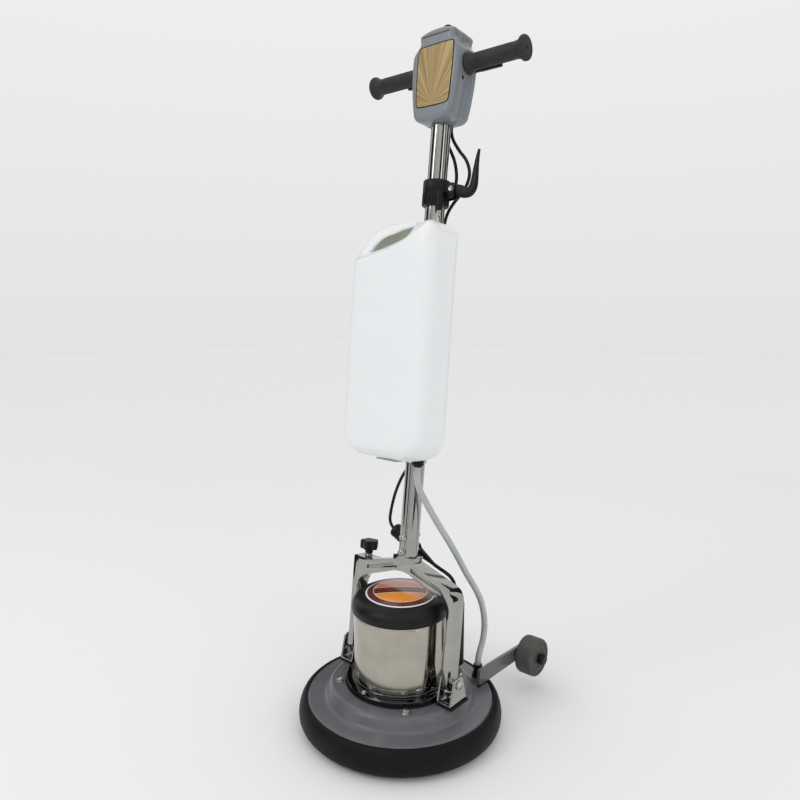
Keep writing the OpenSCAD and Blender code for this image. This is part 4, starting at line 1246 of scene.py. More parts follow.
@dataclass
class Motor:
    """The upright motor: flange, polished casing, cap, badge and capacitor cover."""

    shop: Workshop
    casing_r: float = 101.0
    cap_r: float = 105.0
    cap_z: float = 256.0

    def build(self) -> None:
        """Makes the motor's outer pieces."""
        flange = [
            (23.05, 97), (117, 97), (118, 98), (118, 104), (117.2, 104.8), (116.4, 105), (105, 105),
            (104, 105.6), (104, 108.6), (103.2, 109.6), (101.6, 110.8), (101, 111), (90.7, 111),
            (90.7, 107), (32, 107), (32, 115), (23.05, 115), (23.05, 103), (15, 103), (15, 100),
            (23.05, 100)
        ]
        mesh = Solid().lathe(flange, turns=160).mesh("motor_flange_ring", sharp=30)
        self.shop.piece("motor_flange_ring", mesh, Body.BASE, "dark_chrome", ("motor_flange",))
        r = self.casing_r
        casing = [
            (r - 2, 111), (r - 0.6, 111), (r, 111.6), (r, 120), (r - 0.35, 120.6), (r - 0.35, 121.4),
            (r, 122), (r, 250), (r - 0.3, 250.5), (r - 0.3, 262), (r - 2, 262)
        ]
        mesh = Solid().lathe(casing, turns=192).mesh("motor_casing", sharp=20)
        self.shop.piece("motor_casing", mesh, Body.BASE, "polished_steel", ("motor_housing",))
        self.cap()
        self.badge()
        self.shop.refined("capacitor_cover", Body.BASE, "black_plastic", 2.5, 3)
        gland = [
            (3, 236), (6, 236), (6, 244), (9, 244.2), (9, 249.4), (8.4, 250), (7, 250.4), (7, 252),
            (6.2, 252.6), (6.2, 253.8), (7, 254.4), (7, 256), (6.2, 256.8), (5.6, 258), (3, 258)
        ]
        mesh = Solid().lathe(gland, at(57, 123), 48).mesh("cord_gland_body")
        self.shop.piece("cord_gland_body", mesh, Body.BASE, "black_plastic", ("cord_gland",))

    def cap(self) -> None:
        """The thick moulded cap with its full round shoulder."""
        r, z = self.cap_r, self.cap_z
        outer = [
            (r - 2, z - 1), (r - 0.6, z - 0.6), (r + 0.4, z + 0.8), (r + 1, z + 4), (r + 1, z + 8),
            (r + 0.4, z + 13), (r - 1.2, z + 18), (r - 4, z + 22.6), (r - 8, z + 26.8), (r - 12.6, z + 30),
            (r - 18, z + 32), (r - 22, z + 32.6), (79.5, z + 33), (78, z + 33.5), (60, z + 38),
            (45, z + 39.8), (30, z + 41), (14, z + 41.8), (0, z + 42)
        ]
        inner = [(0, z + 38), (30, z + 37), (60, z + 34), (79, z + 29.5), (r - 12, z + 25), (r - 3.5, z + 14),
                 (101.3, z + 6), (101.3, z)]
        mesh = Solid().lathe(outer, turns=192, loop=False)
        mesh.lathe(inner, turns=192, loop=False)
        mesh.loft(
            [
                [
                    (rr * math.cos(a), rr * math.sin(a), zz)
                    for a in (2 * math.pi * k / 192 for k in range(192))
                ]
                for rr, zz in (inner[-1], outer[0])
            ],
            ends=False
        )
        self.shop.piece(
            "motor_cap_cover", mesh.mesh("motor_cap_cover", sharp=50), Body.BASE, "black_plastic",
            ("motor_cap",)
        )

    def badge(self) -> None:
        """The printed badge on the cap's dome, and three small stars on it."""
        z = self.cap_z + 0.45
        top = [(0, z + 42), (14, z + 41.8), (30, z + 41), (45, z + 39.8), (60, z + 38), (75.5, z + 34.1)]
        low = [(r, h - 0.35) for r, h in reversed(top)]
        mesh = Solid().lathe(top + low, turns=160, loop=False).mesh("cap_badge", sharp=60)
        self.shop.piece("cap_badge", mesh, Body.BASE, "printed_badge")
        points = []
        for k in range(10):
            r = 4.2 if k % 2 == 0 else 1.7
            a = math.radians(36 * k + 90)
            points.append((r * math.cos(a), r * math.sin(a)))
        seed = Solid().prism(points, z + 38.9, z + 39.5, at(0, 38)).bevel(0.08, 1, 40)
        turn = Matrix.Rotation(math.radians(43 + 26), 4, "Z")
        self.shop.repeat(
            "badge_stars", seed, Repeat.RING, 3, (0, 0, math.radians(-26)), Body.BASE, "white_print", turn
        )


@dataclass
class Running:
    """Pivot brackets, wheel arms and the two transport wheels."""

    shop: Workshop
    wheel_r: float = 44.5
    wheel_w: float = 42.5
    wheel_y: float = 309.0
    wheel_z: float = 77.0
    inner_x: float = 130.5

    def build(self) -> None:
        """Makes the pieces of both sides."""
        self.shop.refined("pivot_brackets", Body.BASE, "chrome", 0.9)
        self.shop.refined("bracket_pads", Body.BASE, "black_rubber", 1.0)
        self.shop.refined("wheel_arms", Body.BASE, "grey_paint", 1.2)
        self.bolts()
        outer = self.inner_x + self.wheel_w + 1
        axles = Solid()
        caps = Solid()
        for side in Side:
            self.wheel(side)
            turn = ALONG_X if side is Side.RIGHT else Matrix.Rotation(math.radians(-90), 4, "Y")
            place = at(0, self.wheel_y, self.wheel_z) @ turn
            axles.lathe(
                [(0, 117), (6, 117), (6, outer + 5.5), (5.2, outer + 6.3), (0, outer + 6.3)], place, 48,
                False
            )
            cap = [
                (0, outer + 6.6), (6.05, outer + 6.6), (6.05, outer), (12.2, outer), (13, outer + 0.8),
                (13, outer + 10.4), (12.3, outer + 12.4), (10.4, outer + 13.7), (7, outer + 14),
                (0, outer + 14)
            ]
            caps.lathe(cap, place, 48, False)
        self.shop.piece("stub_axles", axles.mesh("stub_axles"), Body.BASE, "gear_steel", ("wheel_axle",))
        self.shop.piece("axle_caps", caps.mesh("axle_caps"), Body.BASE, "black_plastic", ("wheel_caps",))

    def wheel(self, side: Side) -> None:
        """A moulded wheel with stepped rings on both faces and a grooved tread."""
        r = self.wheel_r
        face = [
            (6.05, 1), (11, 1), (12, 1.6), (14.4, 1.6), (15.2, 3), (21.6, 3), (22.8, 1.6), (24.4, 1),
            (32.6, 1), (33.4, 2.2), (34.2, 2.2), (35.2, 0.3), (36.5, 0), (39.5, 0), (42, 0.9), (43.6, 2.8),
            (r, 6), (r, 13.6), (r - 0.6, 14.2), (r - 0.6, 15), (r, 15.6)
        ]
        profile = face + [(a, self.wheel_w - z) for a, z in reversed(face)]
        node = "wheel_right" if side is Side.RIGHT else "wheel_left"
        body = Body.RIGHT if side is Side.RIGHT else Body.LEFT
        x = self.inner_x if side is Side.RIGHT else -self.inner_x - self.wheel_w
        solid = Solid().lathe(profile, at(x, self.wheel_y, self.wheel_z) @ ALONG_X, 128)
        self.shop.piece(f"{node}_tyre", solid.mesh(node, sharp=32), body, "wheel_rubber", (node,))
        seed = Solid().box((27.2, -1.1, 0.35), (31.4, 1.1, 1.25)).bevel(0.3, 2, 40)
        for outer in (0, 1):
            flip = at(0, 0, self.wheel_w) @ Matrix.Rotation(math.pi, 4, "X") if outer else LEVEL
            place = at(x, self.wheel_y, self.wheel_z) @ ALONG_X @ flip
            copy = Solid()
            copy.bm.free()
            copy.bm = seed.bm.copy()
            self.shop.repeat(
                f"{node}_lugs_{outer}", copy, Repeat.RING, 6, (0, 0, math.pi / 3), body, "wheel_rubber",
                place
            )

    def bolts(self) -> None:
        """The pivot bolts, with chamfered heads, washers and nuts."""
        solid = Solid()
        for side in Side:
            turn = ALONG_X if side is Side.RIGHT else Matrix.Rotation(math.radians(-90), 4, "Y")
            place = at(0, 0, PIVOT_Z) @ turn
            part = Solid()
            part.prism(hexagon(17), 115, 120.2, place).prism(
                hexagon(17), 157.9, 161.6, place
            ).bevel(0.9, 2, 20)
            part.lathe([(0, 121), (6, 121), (6, 157), (0, 157)], place, 48, False)
            part.lathe(
                [(0, 157), (9.6, 157), (9.9, 157.3), (9.9, 157.7), (9.6, 158), (0, 158)], place, 48, False
            )
            part.lathe(
                [(0, 120), (9.6, 120), (9.9, 120.3), (9.9, 120.7), (9.6, 121), (0, 121)], place, 48, False
            )
            part.lathe([(0, 161), (4.6, 161), (4.2, 161.8), (2.4, 162), (0, 162)], place, 32, False)
            mesh = bpy.data.meshes.new("part")
            part.bm.to_mesh(mesh)
            solid.bm.from_mesh(mesh)
            part.bm.free()
        self.shop.piece(
            "pivot_bolt_set", solid.mesh("pivot_bolt_set"), Body.BASE, "zinc_steel", ("pivot_bolts",)
        )


# ---------------------------------------------------------------- upright


@dataclass
class Upright:
    """Yoke, pole, their bolts and the lock knob."""

    shop: Workshop
    knob_x: float = -114.0

    def build(self) -> None:
        """Makes the pieces that carry everything above the head."""
        self.shop.refined("yoke", Body.HANDLE, "chrome", 1.6, 3)
        self.ribs()
        pole = [(18, 232.3), (20.4, 232.3), (21, 233), (21, 1239.7), (20.4, 1240.3), (18, 1240.3)]
        mesh = Solid().lathe(pole, turns=96).mesh("pole_tube", UPRIGHT)
        self.shop.piece("pole_tube", mesh, Body.HANDLE, "chrome", ("pole",))
        self.foot_bolts()
        self.knob()
        self.shop.refined("tank_brackets", Body.HANDLE, "zinc_steel", 0.6)

    def ribs(self) -> None:
        """Three long ribs in the recess of each sloping beam, on both faces."""
        solid = Solid()
        slope = math.atan2(22, 76)
        for side in Side:
            for face in Side:
                for k in range(3):
                    place = at(
                        side.value * 62, face.value * -15.6, 197.2 + 2.9 * k
                    ) @ Matrix.Rotation(side.value * slope, 4, "Y")
                    solid.box((-37, -1.1, -0.75), (37, 1.1, 0.75), place)
        solid.bevel(0.45, 2, 40)
        self.shop.piece("beam_ribs", solid.mesh("beam_ribs", UPRIGHT), Body.HANDLE, "chrome")

    def foot_bolts(self) -> None:
        """Two bolts across the pole's foot: domed heads in front, nuts behind."""
        head = [
            (0, 31), (2.6, 31), (2.8, 28.6), (4.4, 28.6), (4.6, 30.2), (6.4, 29.2), (7.4, 27), (7.7, 24.5),
            (7.7, 23), (0, 23)
        ]
        washer = [(0, 23), (8.7, 23), (9, 22.7), (9, 21.8), (8.7, 21.5), (0, 21.5)]
        solid = Solid()
        for z in (242, 274):
            front = at(0, 0, z) @ Matrix.Rotation(math.radians(90), 4, "X")
            back = at(0, 0, z) @ ALONG_Y
            solid.lathe(head, front, 48, False).lathe(washer, front, 48, False).lathe(washer, back, 48, False)
            solid.lathe([(0, 21), (4, 21), (4, 31), (3.4, 32), (0, 32)], back, 32, False)
            nut = Solid().prism(hexagon(13), 23, 30, back).bevel(0.7, 2, 20)
            mesh = bpy.data.meshes.new("nut")
            nut.bm.to_mesh(mesh)
            solid.bm.from_mesh(mesh)
            nut.bm.free()
        self.shop.piece(
            "foot_bolt_set", solid.mesh("foot_bolt_set", UPRIGHT), Body.HANDLE, "zinc_steel",
            ("pole_bolts",)
        )

    def knob(self) -> None:
        """The lobed clamping knob on its stud, with collar and nut."""
        rings = []
        for z, grow in (
            (221, -2.4), (221.4, -1.0), (222.6, -0.2), (224, 0.0), (236, 0.0), (238.6, -0.5), (240.2, -1.7),
            (241, -3.6)
        ):
            ring = []
            for k in range(120):
                a = 2 * math.pi * k / 120
                lobe = 0.5 + 0.5 * math.cos(5 * a)
                r = 16.6 + 4.8 * lobe**0.75 + grow
                ring.append((r * math.cos(a), r * math.sin(a), z))
            rings.append(ring)
        top = [
            [(x * f, y * f, height) for x, y, _ in rings[-1]]
            for f, height in ((0.78, 241.2), (0.62, 240.8))
        ]
        solid = Solid().loft(rings + top, at(self.knob_x))
        collar = [(0, 212), (8.2, 212), (9, 212.8), (9, 217), (10.5, 219.5), (12, 221.3), (0, 221.3)]
        solid.lathe(collar, at(self.knob_x), 48, False)
        self.shop.piece(
            "lock_knob_head", solid.mesh("lock_knob_head", UPRIGHT, 45), Body.KNOB, "black_plastic",
            ("lock_knob",)
        )
        stud = Solid().prism(hexagon(17), 203.3, 210.3, at(self.knob_x)).bevel(0.9, 2, 20)
        thread = [(0, 172)] + [(5.0 if k % 2 else 4.5, 172.4 + k * 0.75) for k in range(53)] + [(0, 212.3)]
        stud.lathe(thread, at(self.knob_x), 32, False)
        self.shop.piece("lock_knob_stud", stud.mesh("lock_knob_stud", UPRIGHT, 30), Body.KNOB, "zinc_steel")


# ---------------------------------------------------------------- tank


@dataclass
class Tank:
    """The moulded solution tank: a double skin that turns in at its slanted mouth."""

    shop: Workshop
    half_x: float = 108.0
    mid_y: float = -80.0
    half_y: float = 54.0
    low_z: float = 452.0
    high_z: float = 948.0
    wall: float = 3.0
    corner: float = 32.0
    lip: list[Flat] = field(
        default_factory=lambda: [
            (-120, 852), (-84, 856), (-49, 861), (-22, 868), (8, 877), (43, 892), (64, 905), (86, 924),
            (120, 962)
        ]
    )
    rise: list[Flat] = field(default_factory=lambda: [
        (-140, 0), (-124, 4), (-116, 9), (-106, 19), (-90, 39), (-74, 60), (-58, 80), (-44, 98), (-20, 118)])

    @staticmethod
    def between(table: list[Flat], x: float) -> float:
        """Value of a line through design points, read at x, with its corners eased."""
        total = 0.0
        for shift in (-9, -4.5, 0, 4.5, 9):
            p = min(max(x + shift, table[0][0]), table[-1][0])
            for (ax, ay), (bx, by) in zip(table, table[1:]):
                if ax <= p <= bx:
                    total += ay + (by - ay) * (p - ax) / (bx - ax)
                    break
        return total / 5

    @staticmethod
    def drop(radius: float, inwards: float) -> float:
        """How far a rounded edge lies below its flat, at a distance in from the side."""
        if inwards >= radius:
            return 0.0
        return radius - math.sqrt(max(radius**2 - (radius - inwards) ** 2, 0.0))

    def height(self, x: float, y: float, inwards: float) -> float:
        """Height of the top skin over a point of the plan."""
        dx = self.drop(46, self.half_x - abs(x))
        edge = 42 if y < self.mid_y else 18
        dy = self.drop(edge, self.half_y - abs(y - self.mid_y))
        tilt = 12.0 * min(max((x + 25) / 75, 0.0), 1.0)
        top = self.high_z - tilt - (dx**2.4 + dy**2.4) ** (1 / 2.4)
        mouth = self.between(self.lip, x) + self.between(self.rise, y) - 0.85 * self.drop(9, inwards)
        soft = 14.0
        blend = max(soft - abs(top - mouth), 0.0) / soft
        return min(top, mouth) - blend * blend * soft / 4

    def outline(self, shrink_x: float, shrink_y: float) -> list[Flat]:
        """The plan outline, made smaller by two amounts."""
        w, d = self.half_x - shrink_x, self.half_y - shrink_y
        r = max(min(self.corner - 0.6 * min(shrink_x, shrink_y), d * 0.92), 4.0)
        return [(x, y + self.mid_y) for x, y in rounded_rect(2 * w, 2 * d, r, 10, 26, 10)]

    def skin(self, wall: float) -> list[list[Point]]:
        """One skin from the middle of the bottom to the mouth.

        Args:
            wall: How far inside the outer face it lies.

        Returns:
            Its rings in order.
        """
        rings: list[list[Point]] = []
        for h in (0.0, 0.5, 1.6, 3.2, 5.6, 8.6, 12.4, 17, 22.4, 29, 37, 46, 54):
            sx, sy = self.drop(52, h), self.drop(30, h)
            z = self.low_z + wall + h * (1 - wall / 54)
            rings.append([(x, y, z) for x, y in self.outline(sx + wall, sy + wall)])
        rim = self.outline(wall, wall)
        side = [self.height(x, y, 0.0) - wall for x, y in self.outline(0, 0)]
        for k in range(1, 15):
            t = k / 15
            rings.append(
                [(x, y, self.low_z + 54 + (z - self.low_z - 54) * t) for (x, y), z in zip(rim, side)]
            )
        for d in (0.0, 0.35, 1.0, 2.0, 3.4, 5.2, 7.4, 10, 14, 19, 25):
            plan = self.outline(d + wall, d + wall)
            true = self.outline(d, d)
            rings.append([(x, y, self.height(tx, ty, d) - wall) for (x, y), (tx, ty) in zip(plan, true)])
        start = self.outline(25 + wall, 25 + wall)
        slot = self.slot(0.0 if wall < 1 else -1.5)
        for k in range(1, 9):
            t = k / 8
            plan = [(ax + (bx - ax) * t, ay + (by - ay) * t) for (ax, ay), (bx, by) in zip(start, slot)]
            sink = 2.2 * max(t - 0.75, 0.0) / 0.25 if wall < 1 else 0.0
            rings.append([(x, y, self.height(x, y, 40.0) - wall - sink * t) for x, y in plan])
        return rings

    def slot(self, shrink: float) -> list[Flat]:
        """Outline of the filling hole."""
        wide, deep = 104 - 2 * shrink, 50 - 2 * shrink
        return [(x - 26, y - 92) for x, y in rounded_rect(wide, deep, 22 - shrink, 10, 26, 10)]

    def lean(self, x: float, y: float, z: float) -> Point:
        """Moves a point sideways with its height: the moulding leans a little to the left."""
        t = max(z - self.low_z, 0.0) / (self.high_z - self.low_z)
        return (x - 8.0 * t ** 0.8, y, z)

    def build(self) -> None:
        """Makes the tank, its valve body and the clear guide tube with its rod."""
        outer = self.skin(0.0)
        inner = self.skin(self.wall)
        neck = []
        for s, sink in ((2.2, 5.5), (2.6, 9.0), (1.6, 11.5)):
            neck.append([(x, y, self.height(x, y, 40.0) - sink) for x, y in self.slot(s)])
        inner_top = [[(x, y, z - 9.0 * i / len(inner)) for x, y, z in ring] for i, ring in enumerate(inner)]
        rings = [[self.lean(*p) for p in ring] for ring in outer + neck + inner_top[::-1]]
        solid = Solid().loft(rings)
        per_ring = len(rings[0])
        first_inner = (len(outer) + 1) * per_ring
        # Faces past the mouth's edge take tank_inside: painted shade of the recess, plus a painted glow.
        for i, face in enumerate(solid.bm.faces):
            face.material_index = int(
                first_inner <= i < (len(rings) - 1) * per_ring or i > len(solid.bm.faces) - 2
            )
        mesh = solid.mesh("tank_shell", UPRIGHT, 75)
        mesh.materials.append(self.shop.paints.get("tank_plastic"))
        mesh.materials.append(self.shop.paints.get("tank_inside"))
        self.shop.piece("tank_shell", mesh, Body.HANDLE, "tank_plastic", ("tank",))
        valve = [
            (5, 436), (8.4, 436), (9, 436.6), (9, 440), (12.4, 440), (13, 440.6), (13, 443), (12.3, 443.6),
            (12.3, 445.4), (13, 446), (13, 450.9), (12.4, 451.5), (9, 451.5), (9, 463.6), (8.6, 464),
            (5, 464)
        ]
        mesh = Solid().lathe(valve, at(44, -48), 64).mesh("valve_body_turned", UPRIGHT)
        self.shop.piece("valve_body_turned", mesh, Body.HANDLE, "black_plastic", ("valve_body",))
        route = [
            (26, -20, 972.7), (26, -20, 970), (26, -25, 960), (26, -32, 950), (26, -36, 940), (26, -36, 933)
        ]
        line = smooth_line(route, 2.0)
        mesh = Solid().tube(line, 4.5, 32).mesh("guide_tube", UPRIGHT)
        self.shop.piece("guide_tube", mesh, Body.HANDLE, "clear_tube", ("wire_guide",))
        rod = smooth_line(
            [
                (26, -20, 976), (26, -20, 970), (26, -25, 960), (26, -32, 950), (26, -36, 940),
                (26, -36, 931)
            ],
            2.0
        )
        self.shop.piece(
            "guide_rod", Solid().tube(rod, 1.6, 16).mesh("guide_rod", UPRIGHT), Body.HANDLE, "zinc_steel"
        )


# ---------------------------------------------------------------- controls


@dataclass
class Controls:
    """Clamp and water lever, control box, switches and grips."""

    shop: Workshop
    grip_d: float = 1272.0
    grip_y: float = -4.0
    lever: Flat = (46.0, 1018.0)
    half_box: list[Flat] = field(
        default_factory=lambda: [
            (14, 1157.6), (30, 1158.0), (40, 1160.5), (46.5, 1167), (50, 1178), (54, 1200), (57.5, 1225),
            (59.8, 1250), (60.6, 1285), (59.4, 1296), (56.5, 1303.5), (50, 1310), (45, 1315), (43.2, 1320),
            (43.2, 1325), (44.6, 1329), (45.4, 1334), (42, 1339.4), (32, 1342.6), (14, 1346.2)
        ]
    )

    def build(self) -> None:
        """Makes everything that the operator touches."""
        self.clamp()
        self.water_lever()
        self.shells()
        self.label()
        self.button()
        self.grips()
        self.shop.refined("switch_lever", Body.BAR, "black_plastic", 1.4, 3)

    def clamp(self) -> None:
        """The collar on the pole: plain band, fluted skirt, two ears and the guide's ferrule."""
        band = [
            (21.05, 985), (27.2, 985), (28, 985.8), (28, 1012), (29, 1013.5), (29, 1037.4), (27.8, 1039),
            (21.05, 1039)
        ]
        solid = Solid().lathe(band, turns=96)
        ears = Solid()
        for y in (-11, 7):
            outline = [(25, 997), (49, 999), (53, 1003), (54, 1009), (54, 1026), (51, 1030), (25, 1031)]
            ears.prism(
                [(x, -z) for x, z in outline][::-1], y, y + 4, Matrix.Rotation(math.radians(-90), 4, "X")
            )
        ears.bevel(0.9, 2, 40)
        mesh = bpy.data.meshes.new("ears")
        ears.bm.to_mesh(mesh)
        solid.bm.from_mesh(mesh)
        ears.bm.free()
        ferrule = [(3, 973), (6.2, 973), (7, 973.8), (7, 980), (9, 981), (9, 1012), (8.2, 1013), (3, 1013)]
        solid.lathe(ferrule, at(26, -20), 48)
        self.shop.piece("lever_clamp_collar", solid.mesh("lever_clamp_collar", UPRIGHT), Body.HANDLE,
                        "black_plastic", ("lever_clamp",))
        flute = Solid().box((27.4, -1.5, 987.5), (29.1, 1.5, 1011.5)).bevel(0.7, 2, 40)
        self.shop.repeat(
            "clamp_flutes", flute, Repeat.RING, 26, (0, 0, 2 * math.pi / 26), Body.HANDLE, "black_plastic",
            UPRIGHT
        )

    def water_lever(self) -> None:
        """The finger lever: a smooth hook from the pivot out and up to a slim tip, with its screw."""
        x, z = self.lever
        line = [
            (x - 9, z), (x, z), (x + 9, z - 2), (x + 19, z - 6), (x + 30, z - 9.5), (x + 40, z - 9),
            (x + 47, z - 2), (x + 50, z + 10), (x + 51, z + 26), (x + 52, z + 44), (x + 53.5, z + 60),
            (x + 55, z + 70), (x + 55.8, z + 75.2)
        ]
        half = [
            (9.5, 6.3), (10.5, 6.3), (11.0, 6.3), (11.0, 6.3), (11.5, 6.3), (12.5, 6.2), (12.0, 6.2),
            (10.4, 6.2), (9.0, 6.1), (7.6, 5.8), (6.4, 5.2), (5.2, 4.4), (2.2, 2.4)
        ]
        curve = smooth_line([(a, b, 0.0) for a, b in line], 3.0)
        sizes = smooth_line([(a, b, 0.0) for a, b in half], 0.01)
        rings = []
        for i, p in enumerate(curve):
            ahead = (curve[min(i + 1, len(curve) - 1)] - curve[max(i - 1, 0)]).normalized()
            normal = Vector((-ahead.y, ahead.x, 0))
            s = sizes[min(round(i / (len(curve) - 1) * (len(sizes) - 1)), len(sizes) - 1)]
            ring = []
            for k in range(28):
                a = 2 * math.pi * k / 28
                u = math.copysign(abs(math.cos(a)) ** 0.62, math.cos(a)) * s.x
                v = math.copysign(abs(math.sin(a)) ** 0.62, math.sin(a)) * s.y
                q = p + normal * u
                ring.append((q.x, v, q.y))
            rings.append(ring)
        solid = Solid().loft(rings)
        self.shop.piece("water_lever_hook", solid.mesh("water_lever_hook", UPRIGHT, 60), Body.LEVER,
                        "black_plastic", ("water_lever",))
        head = [(0, 13), (2, 13), (2.2, 11.9), (4.2, 11.9), (5.5, 12.4), (5.9, 11.6), (5.5, 11.1), (0, 11.1)]
        place = at(x, 0, z) @ Matrix.Rotation(math.radians(90), 4, "X")
        screw = Solid().lathe(head, place, 40, False).lathe(
            [(0, -13), (3, -13), (3, 11.5), (0, 11.5)], place, 32, False
        )
        self.shop.piece("lever_screw", screw.mesh("lever_screw", UPRIGHT), Body.LEVER, "zinc_steel")

    def outline(self) -> list[Flat]:
        """The box's outline, counter-clockwise, with soft corners."""
        right = self.half_box
        return soften(right + [(-x, z) for x, z in reversed(right)], 2)

    def half_shell(self, name: str, split: float, face: float, radius: float) -> bpy.types.Mesh:
        """One half of the box as a hollow shell.

        Args:
            name: Name of the mesh.
            split: Depth of the parting line.
            face: Depth of the outer face.
            radius: Radius round the face.

        Returns:
            The shell before its holes are cut.
        """
        way = -1 if face < split else 1
        outline = self.outline()
        rings: list[list[Point]] = []

        def ring(by: float, y: float) -> None:
            """Adds the outline, moved inwards, at a depth."""
            rings.append([(x, y, z) for x, z in inset(outline, by)])

        ring(12.0, face)
        ring(radius + 0.8, face)
        for k in range(7):
            a = math.radians(90 - 15 * k)
            ring(radius * (1 - math.cos(a)), face - way * radius * (1 - math.sin(a)))
        ring(0.0, split + way * 1.0)
        ring(0.45, split + way * 0.1)
        ring(3.0, split + way * 0.1)
        ring(3.2, face - way * (radius + 2))
        ring(5.5, face - way * 5.0)
        ring(10.0, face - way * 3.0)
        ring(12.5, face - way * 3.0)
        return Solid().loft(rings).mesh(name, sharp=35)

    def shells(self) -> None:
        """Both halves of the control box, with their holes."""
        y, z = self.grip_y, self.grip_d
        bores = {
            "pole": (21.05, 1090, 1200, LEVEL, 64),
            "button": (11.3, 1330, 1370, at(0, -3), 48),
            "bar": (12.55, -100, 100, at(0, y, z) @ ALONG_X, 48),
            "lead": (4.2, 1150, 1170, at(8, 26), 32),
            "mains": (4.2, 1150, 1170, at(-9, 26), 32),
            "screw": (4.4, 50, 70, at(0, -16, 1240) @ ALONG_X, 32),
        }

        def cutter(kind: str) -> bpy.types.Mesh:
            """The cutter of one hole."""
            if kind == "slot":
                return Solid().box((-70, 18, z - 9), (70, 30.8, z + 9)).mesh("hole")
            bore, low, high, place, turns = bores[kind]
            outline = [(0, low), (bore, low), (bore, high), (0, high)]
            return Solid().lathe(outline, place, turns, False).mesh("hole")

        for name, face, radius, wanted, node in (
            ("front_box_shell", -42.0, 10.0, ("pole", "button", "bar", "screw"), "front_shell"),
            ("rear_box_shell", 34.0, 11.0, ("pole", "button", "bar", "slot", "lead", "mains"), "rear_shell"),
        ):
            mesh = self.half_shell(name, -4.0, face, radius)
            mesh = self.shop.cut(mesh, [cutter(kind) for kind in wanted])
            mesh.transform(Matrix.Scale(MM, 4) @ UPRIGHT @ Matrix.Scale(1 / MM, 4))
            self.shop.piece(name, mesh, Body.HANDLE, "grey_plastic", (node,))
        ends = Solid()
        for side in Side:
            lug = [(0, -3), (4.3, -3), (4.3, 2), (0, 2)]
            ends.lathe(lug, at(side.value * 52.0, -16, 1240) @ ALONG_X, 24, False)
        self.shop.piece("box_screws", ends.mesh("box_screws", UPRIGHT), Body.HANDLE, "black_plastic")

    def label(self) -> None:
        """The foil label with a black edge, blank of any lettering."""
        corners = [
            (-39, 1184), (45, 1184), (48, 1215), (50, 1260), (50, 1312), (-43.5, 1312), (-43.5, 1260),
            (-42, 1215)
        ]
        fine: list[Flat] = []
        for (ax, az), (bx, bz) in zip(corners, corners[1:] + corners[:1]):
            far = math.hypot(bx - ax, bz - az)
            cut = min(6.0 / far, 0.25)
            for t in (cut, 1 - cut):
                fine.append((ax + (bx - ax) * t, az + (bz - az) * t))
        rim = soften(fine, 2)
        turn = Matrix.Rotation(math.radians(90), 4, "X")
        edge = Solid().prism(rim, 41.9, 42.55, turn).bevel(0.15, 1, 40)
        self.shop.piece("label_edge", edge.mesh("label_edge", UPRIGHT), Body.HANDLE, "black_plastic")
        foil = Solid().prism(inset(rim, 2.3), 42.0, 42.75, turn).bevel(0.1, 1, 40)
        self.shop.piece("label_foil", foil.mesh("label_foil", UPRIGHT), Body.HANDLE, "gold_foil")

    def button(self) -> None:
        """The lock-off button with its soft domed top."""
        profile = [
            (0, 1322), (11, 1322), (11, 1349), (10.6, 1350), (10.6, 1351), (11, 1352), (11, 1357),
            (10.4, 1359.4), (8.8, 1361.8), (6.4, 1363.6), (3.4, 1364.65), (0, 1364.9)
        ]
        mesh = Solid().lathe(profile, at(0, -3), 64, False).mesh("lock_off_button", UPRIGHT, 45)
        self.shop.piece("lock_off_button", mesh, Body.BUTTON, "black_rubber", ("safety_button",))

    def grips(self) -> None:
        """Two rubber grips with round end flanges, fine flutes and a small hole in each end."""
        profile = [
            (12.55, 0), (20.5, 0), (22, 0.8), (22.6, 2.4), (21.8, 5), (19.8, 8.6), (18, 12.5), (16.9, 18),
            (16.5, 28), (16.6, 60), (16.5, 100), (16.7, 112), (17.6, 119), (19.4, 124), (22, 127.2),
            (23.7, 128.8), (24.2, 131), (24.2, 133.4), (23.4, 135), (21.6, 136), (10, 136.2), (3.6, 136.2),
            (3, 135.6), (3, 133), (12.55, 133)
        ]
        for side in Side:
            turn = ALONG_X if side is Side.RIGHT else Matrix.Rotation(math.radians(-90), 4, "Y")
            place = at(side.value * 60.3, self.grip_y, self.grip_d) @ turn
            name = f"grip_{side.name.lower()}"
            solid = Solid().lathe(profile, place, 96)
            stands = ("grips",) if side is Side.RIGHT else ()
            self.shop.piece(name, solid.mesh(name, UPRIGHT, 45), Body.HANDLE, "grip_rubber", stands)
            seed = Solid().box((16.1, -0.55, 24), (16.85, 0.55, 108)).bevel(0.3, 2, 40)
            self.shop.repeat(f"{name}_flutes", seed, Repeat.RING, 30, (0, 0, math.pi / 15), Body.HANDLE,
                             "grip_rubber", UPRIGHT @ place)


# ---------------------------------------------------------------- inner parts


@dataclass
class InnerParts:
    """CAD nodes that keep their own shape and only take a finish."""

    shop: Workshop

    def build(self) -> None:
        """Dresses every CAD node that is still shown."""
        slots = {p["node"]: p["material_slot"] for p in FRAME["record"]["subparts"]}
        for name, node in FRAME["nodes"].items():
            if node.hide_render:
                continue
            node.data.materials.clear()
            node.data.materials.append(self.shop.paints.get(slots[name]))
            LOG.info("inner part %s keeps its CAD shape", name)


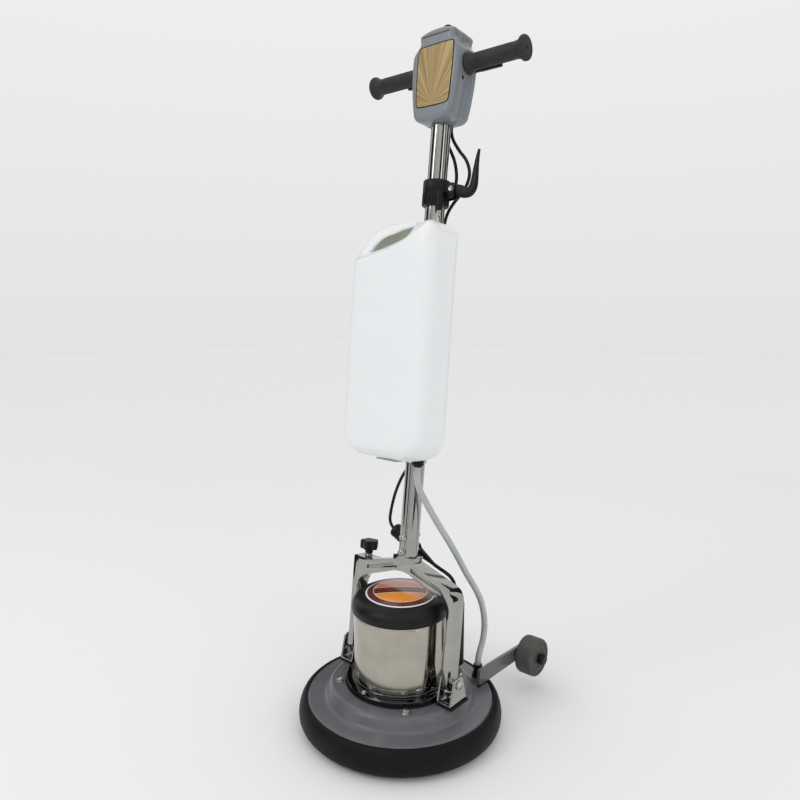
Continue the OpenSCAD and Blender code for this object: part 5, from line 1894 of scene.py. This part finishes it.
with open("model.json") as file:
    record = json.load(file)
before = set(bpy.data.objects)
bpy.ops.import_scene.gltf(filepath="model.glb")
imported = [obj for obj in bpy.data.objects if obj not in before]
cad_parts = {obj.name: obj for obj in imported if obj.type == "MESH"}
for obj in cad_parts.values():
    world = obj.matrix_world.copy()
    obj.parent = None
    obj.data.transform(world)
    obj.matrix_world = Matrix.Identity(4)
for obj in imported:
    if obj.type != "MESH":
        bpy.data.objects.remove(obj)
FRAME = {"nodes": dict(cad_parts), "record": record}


def main() -> None:
    """Builds the studio and every sub-assembly in order."""
    logging.basicConfig(level=logging.INFO, format="%(message)s")
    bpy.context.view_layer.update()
    shop = Workshop(Paintbox(Effects()), Repeater())
    Studio().build()
    for assembly in (Cords, Head, Motor, Running, Upright, Tank, Controls, InnerParts):
        LOG.info("building %s", assembly.__name__)
        assembly(shop).build()


if __name__ == "__main__":
    main()
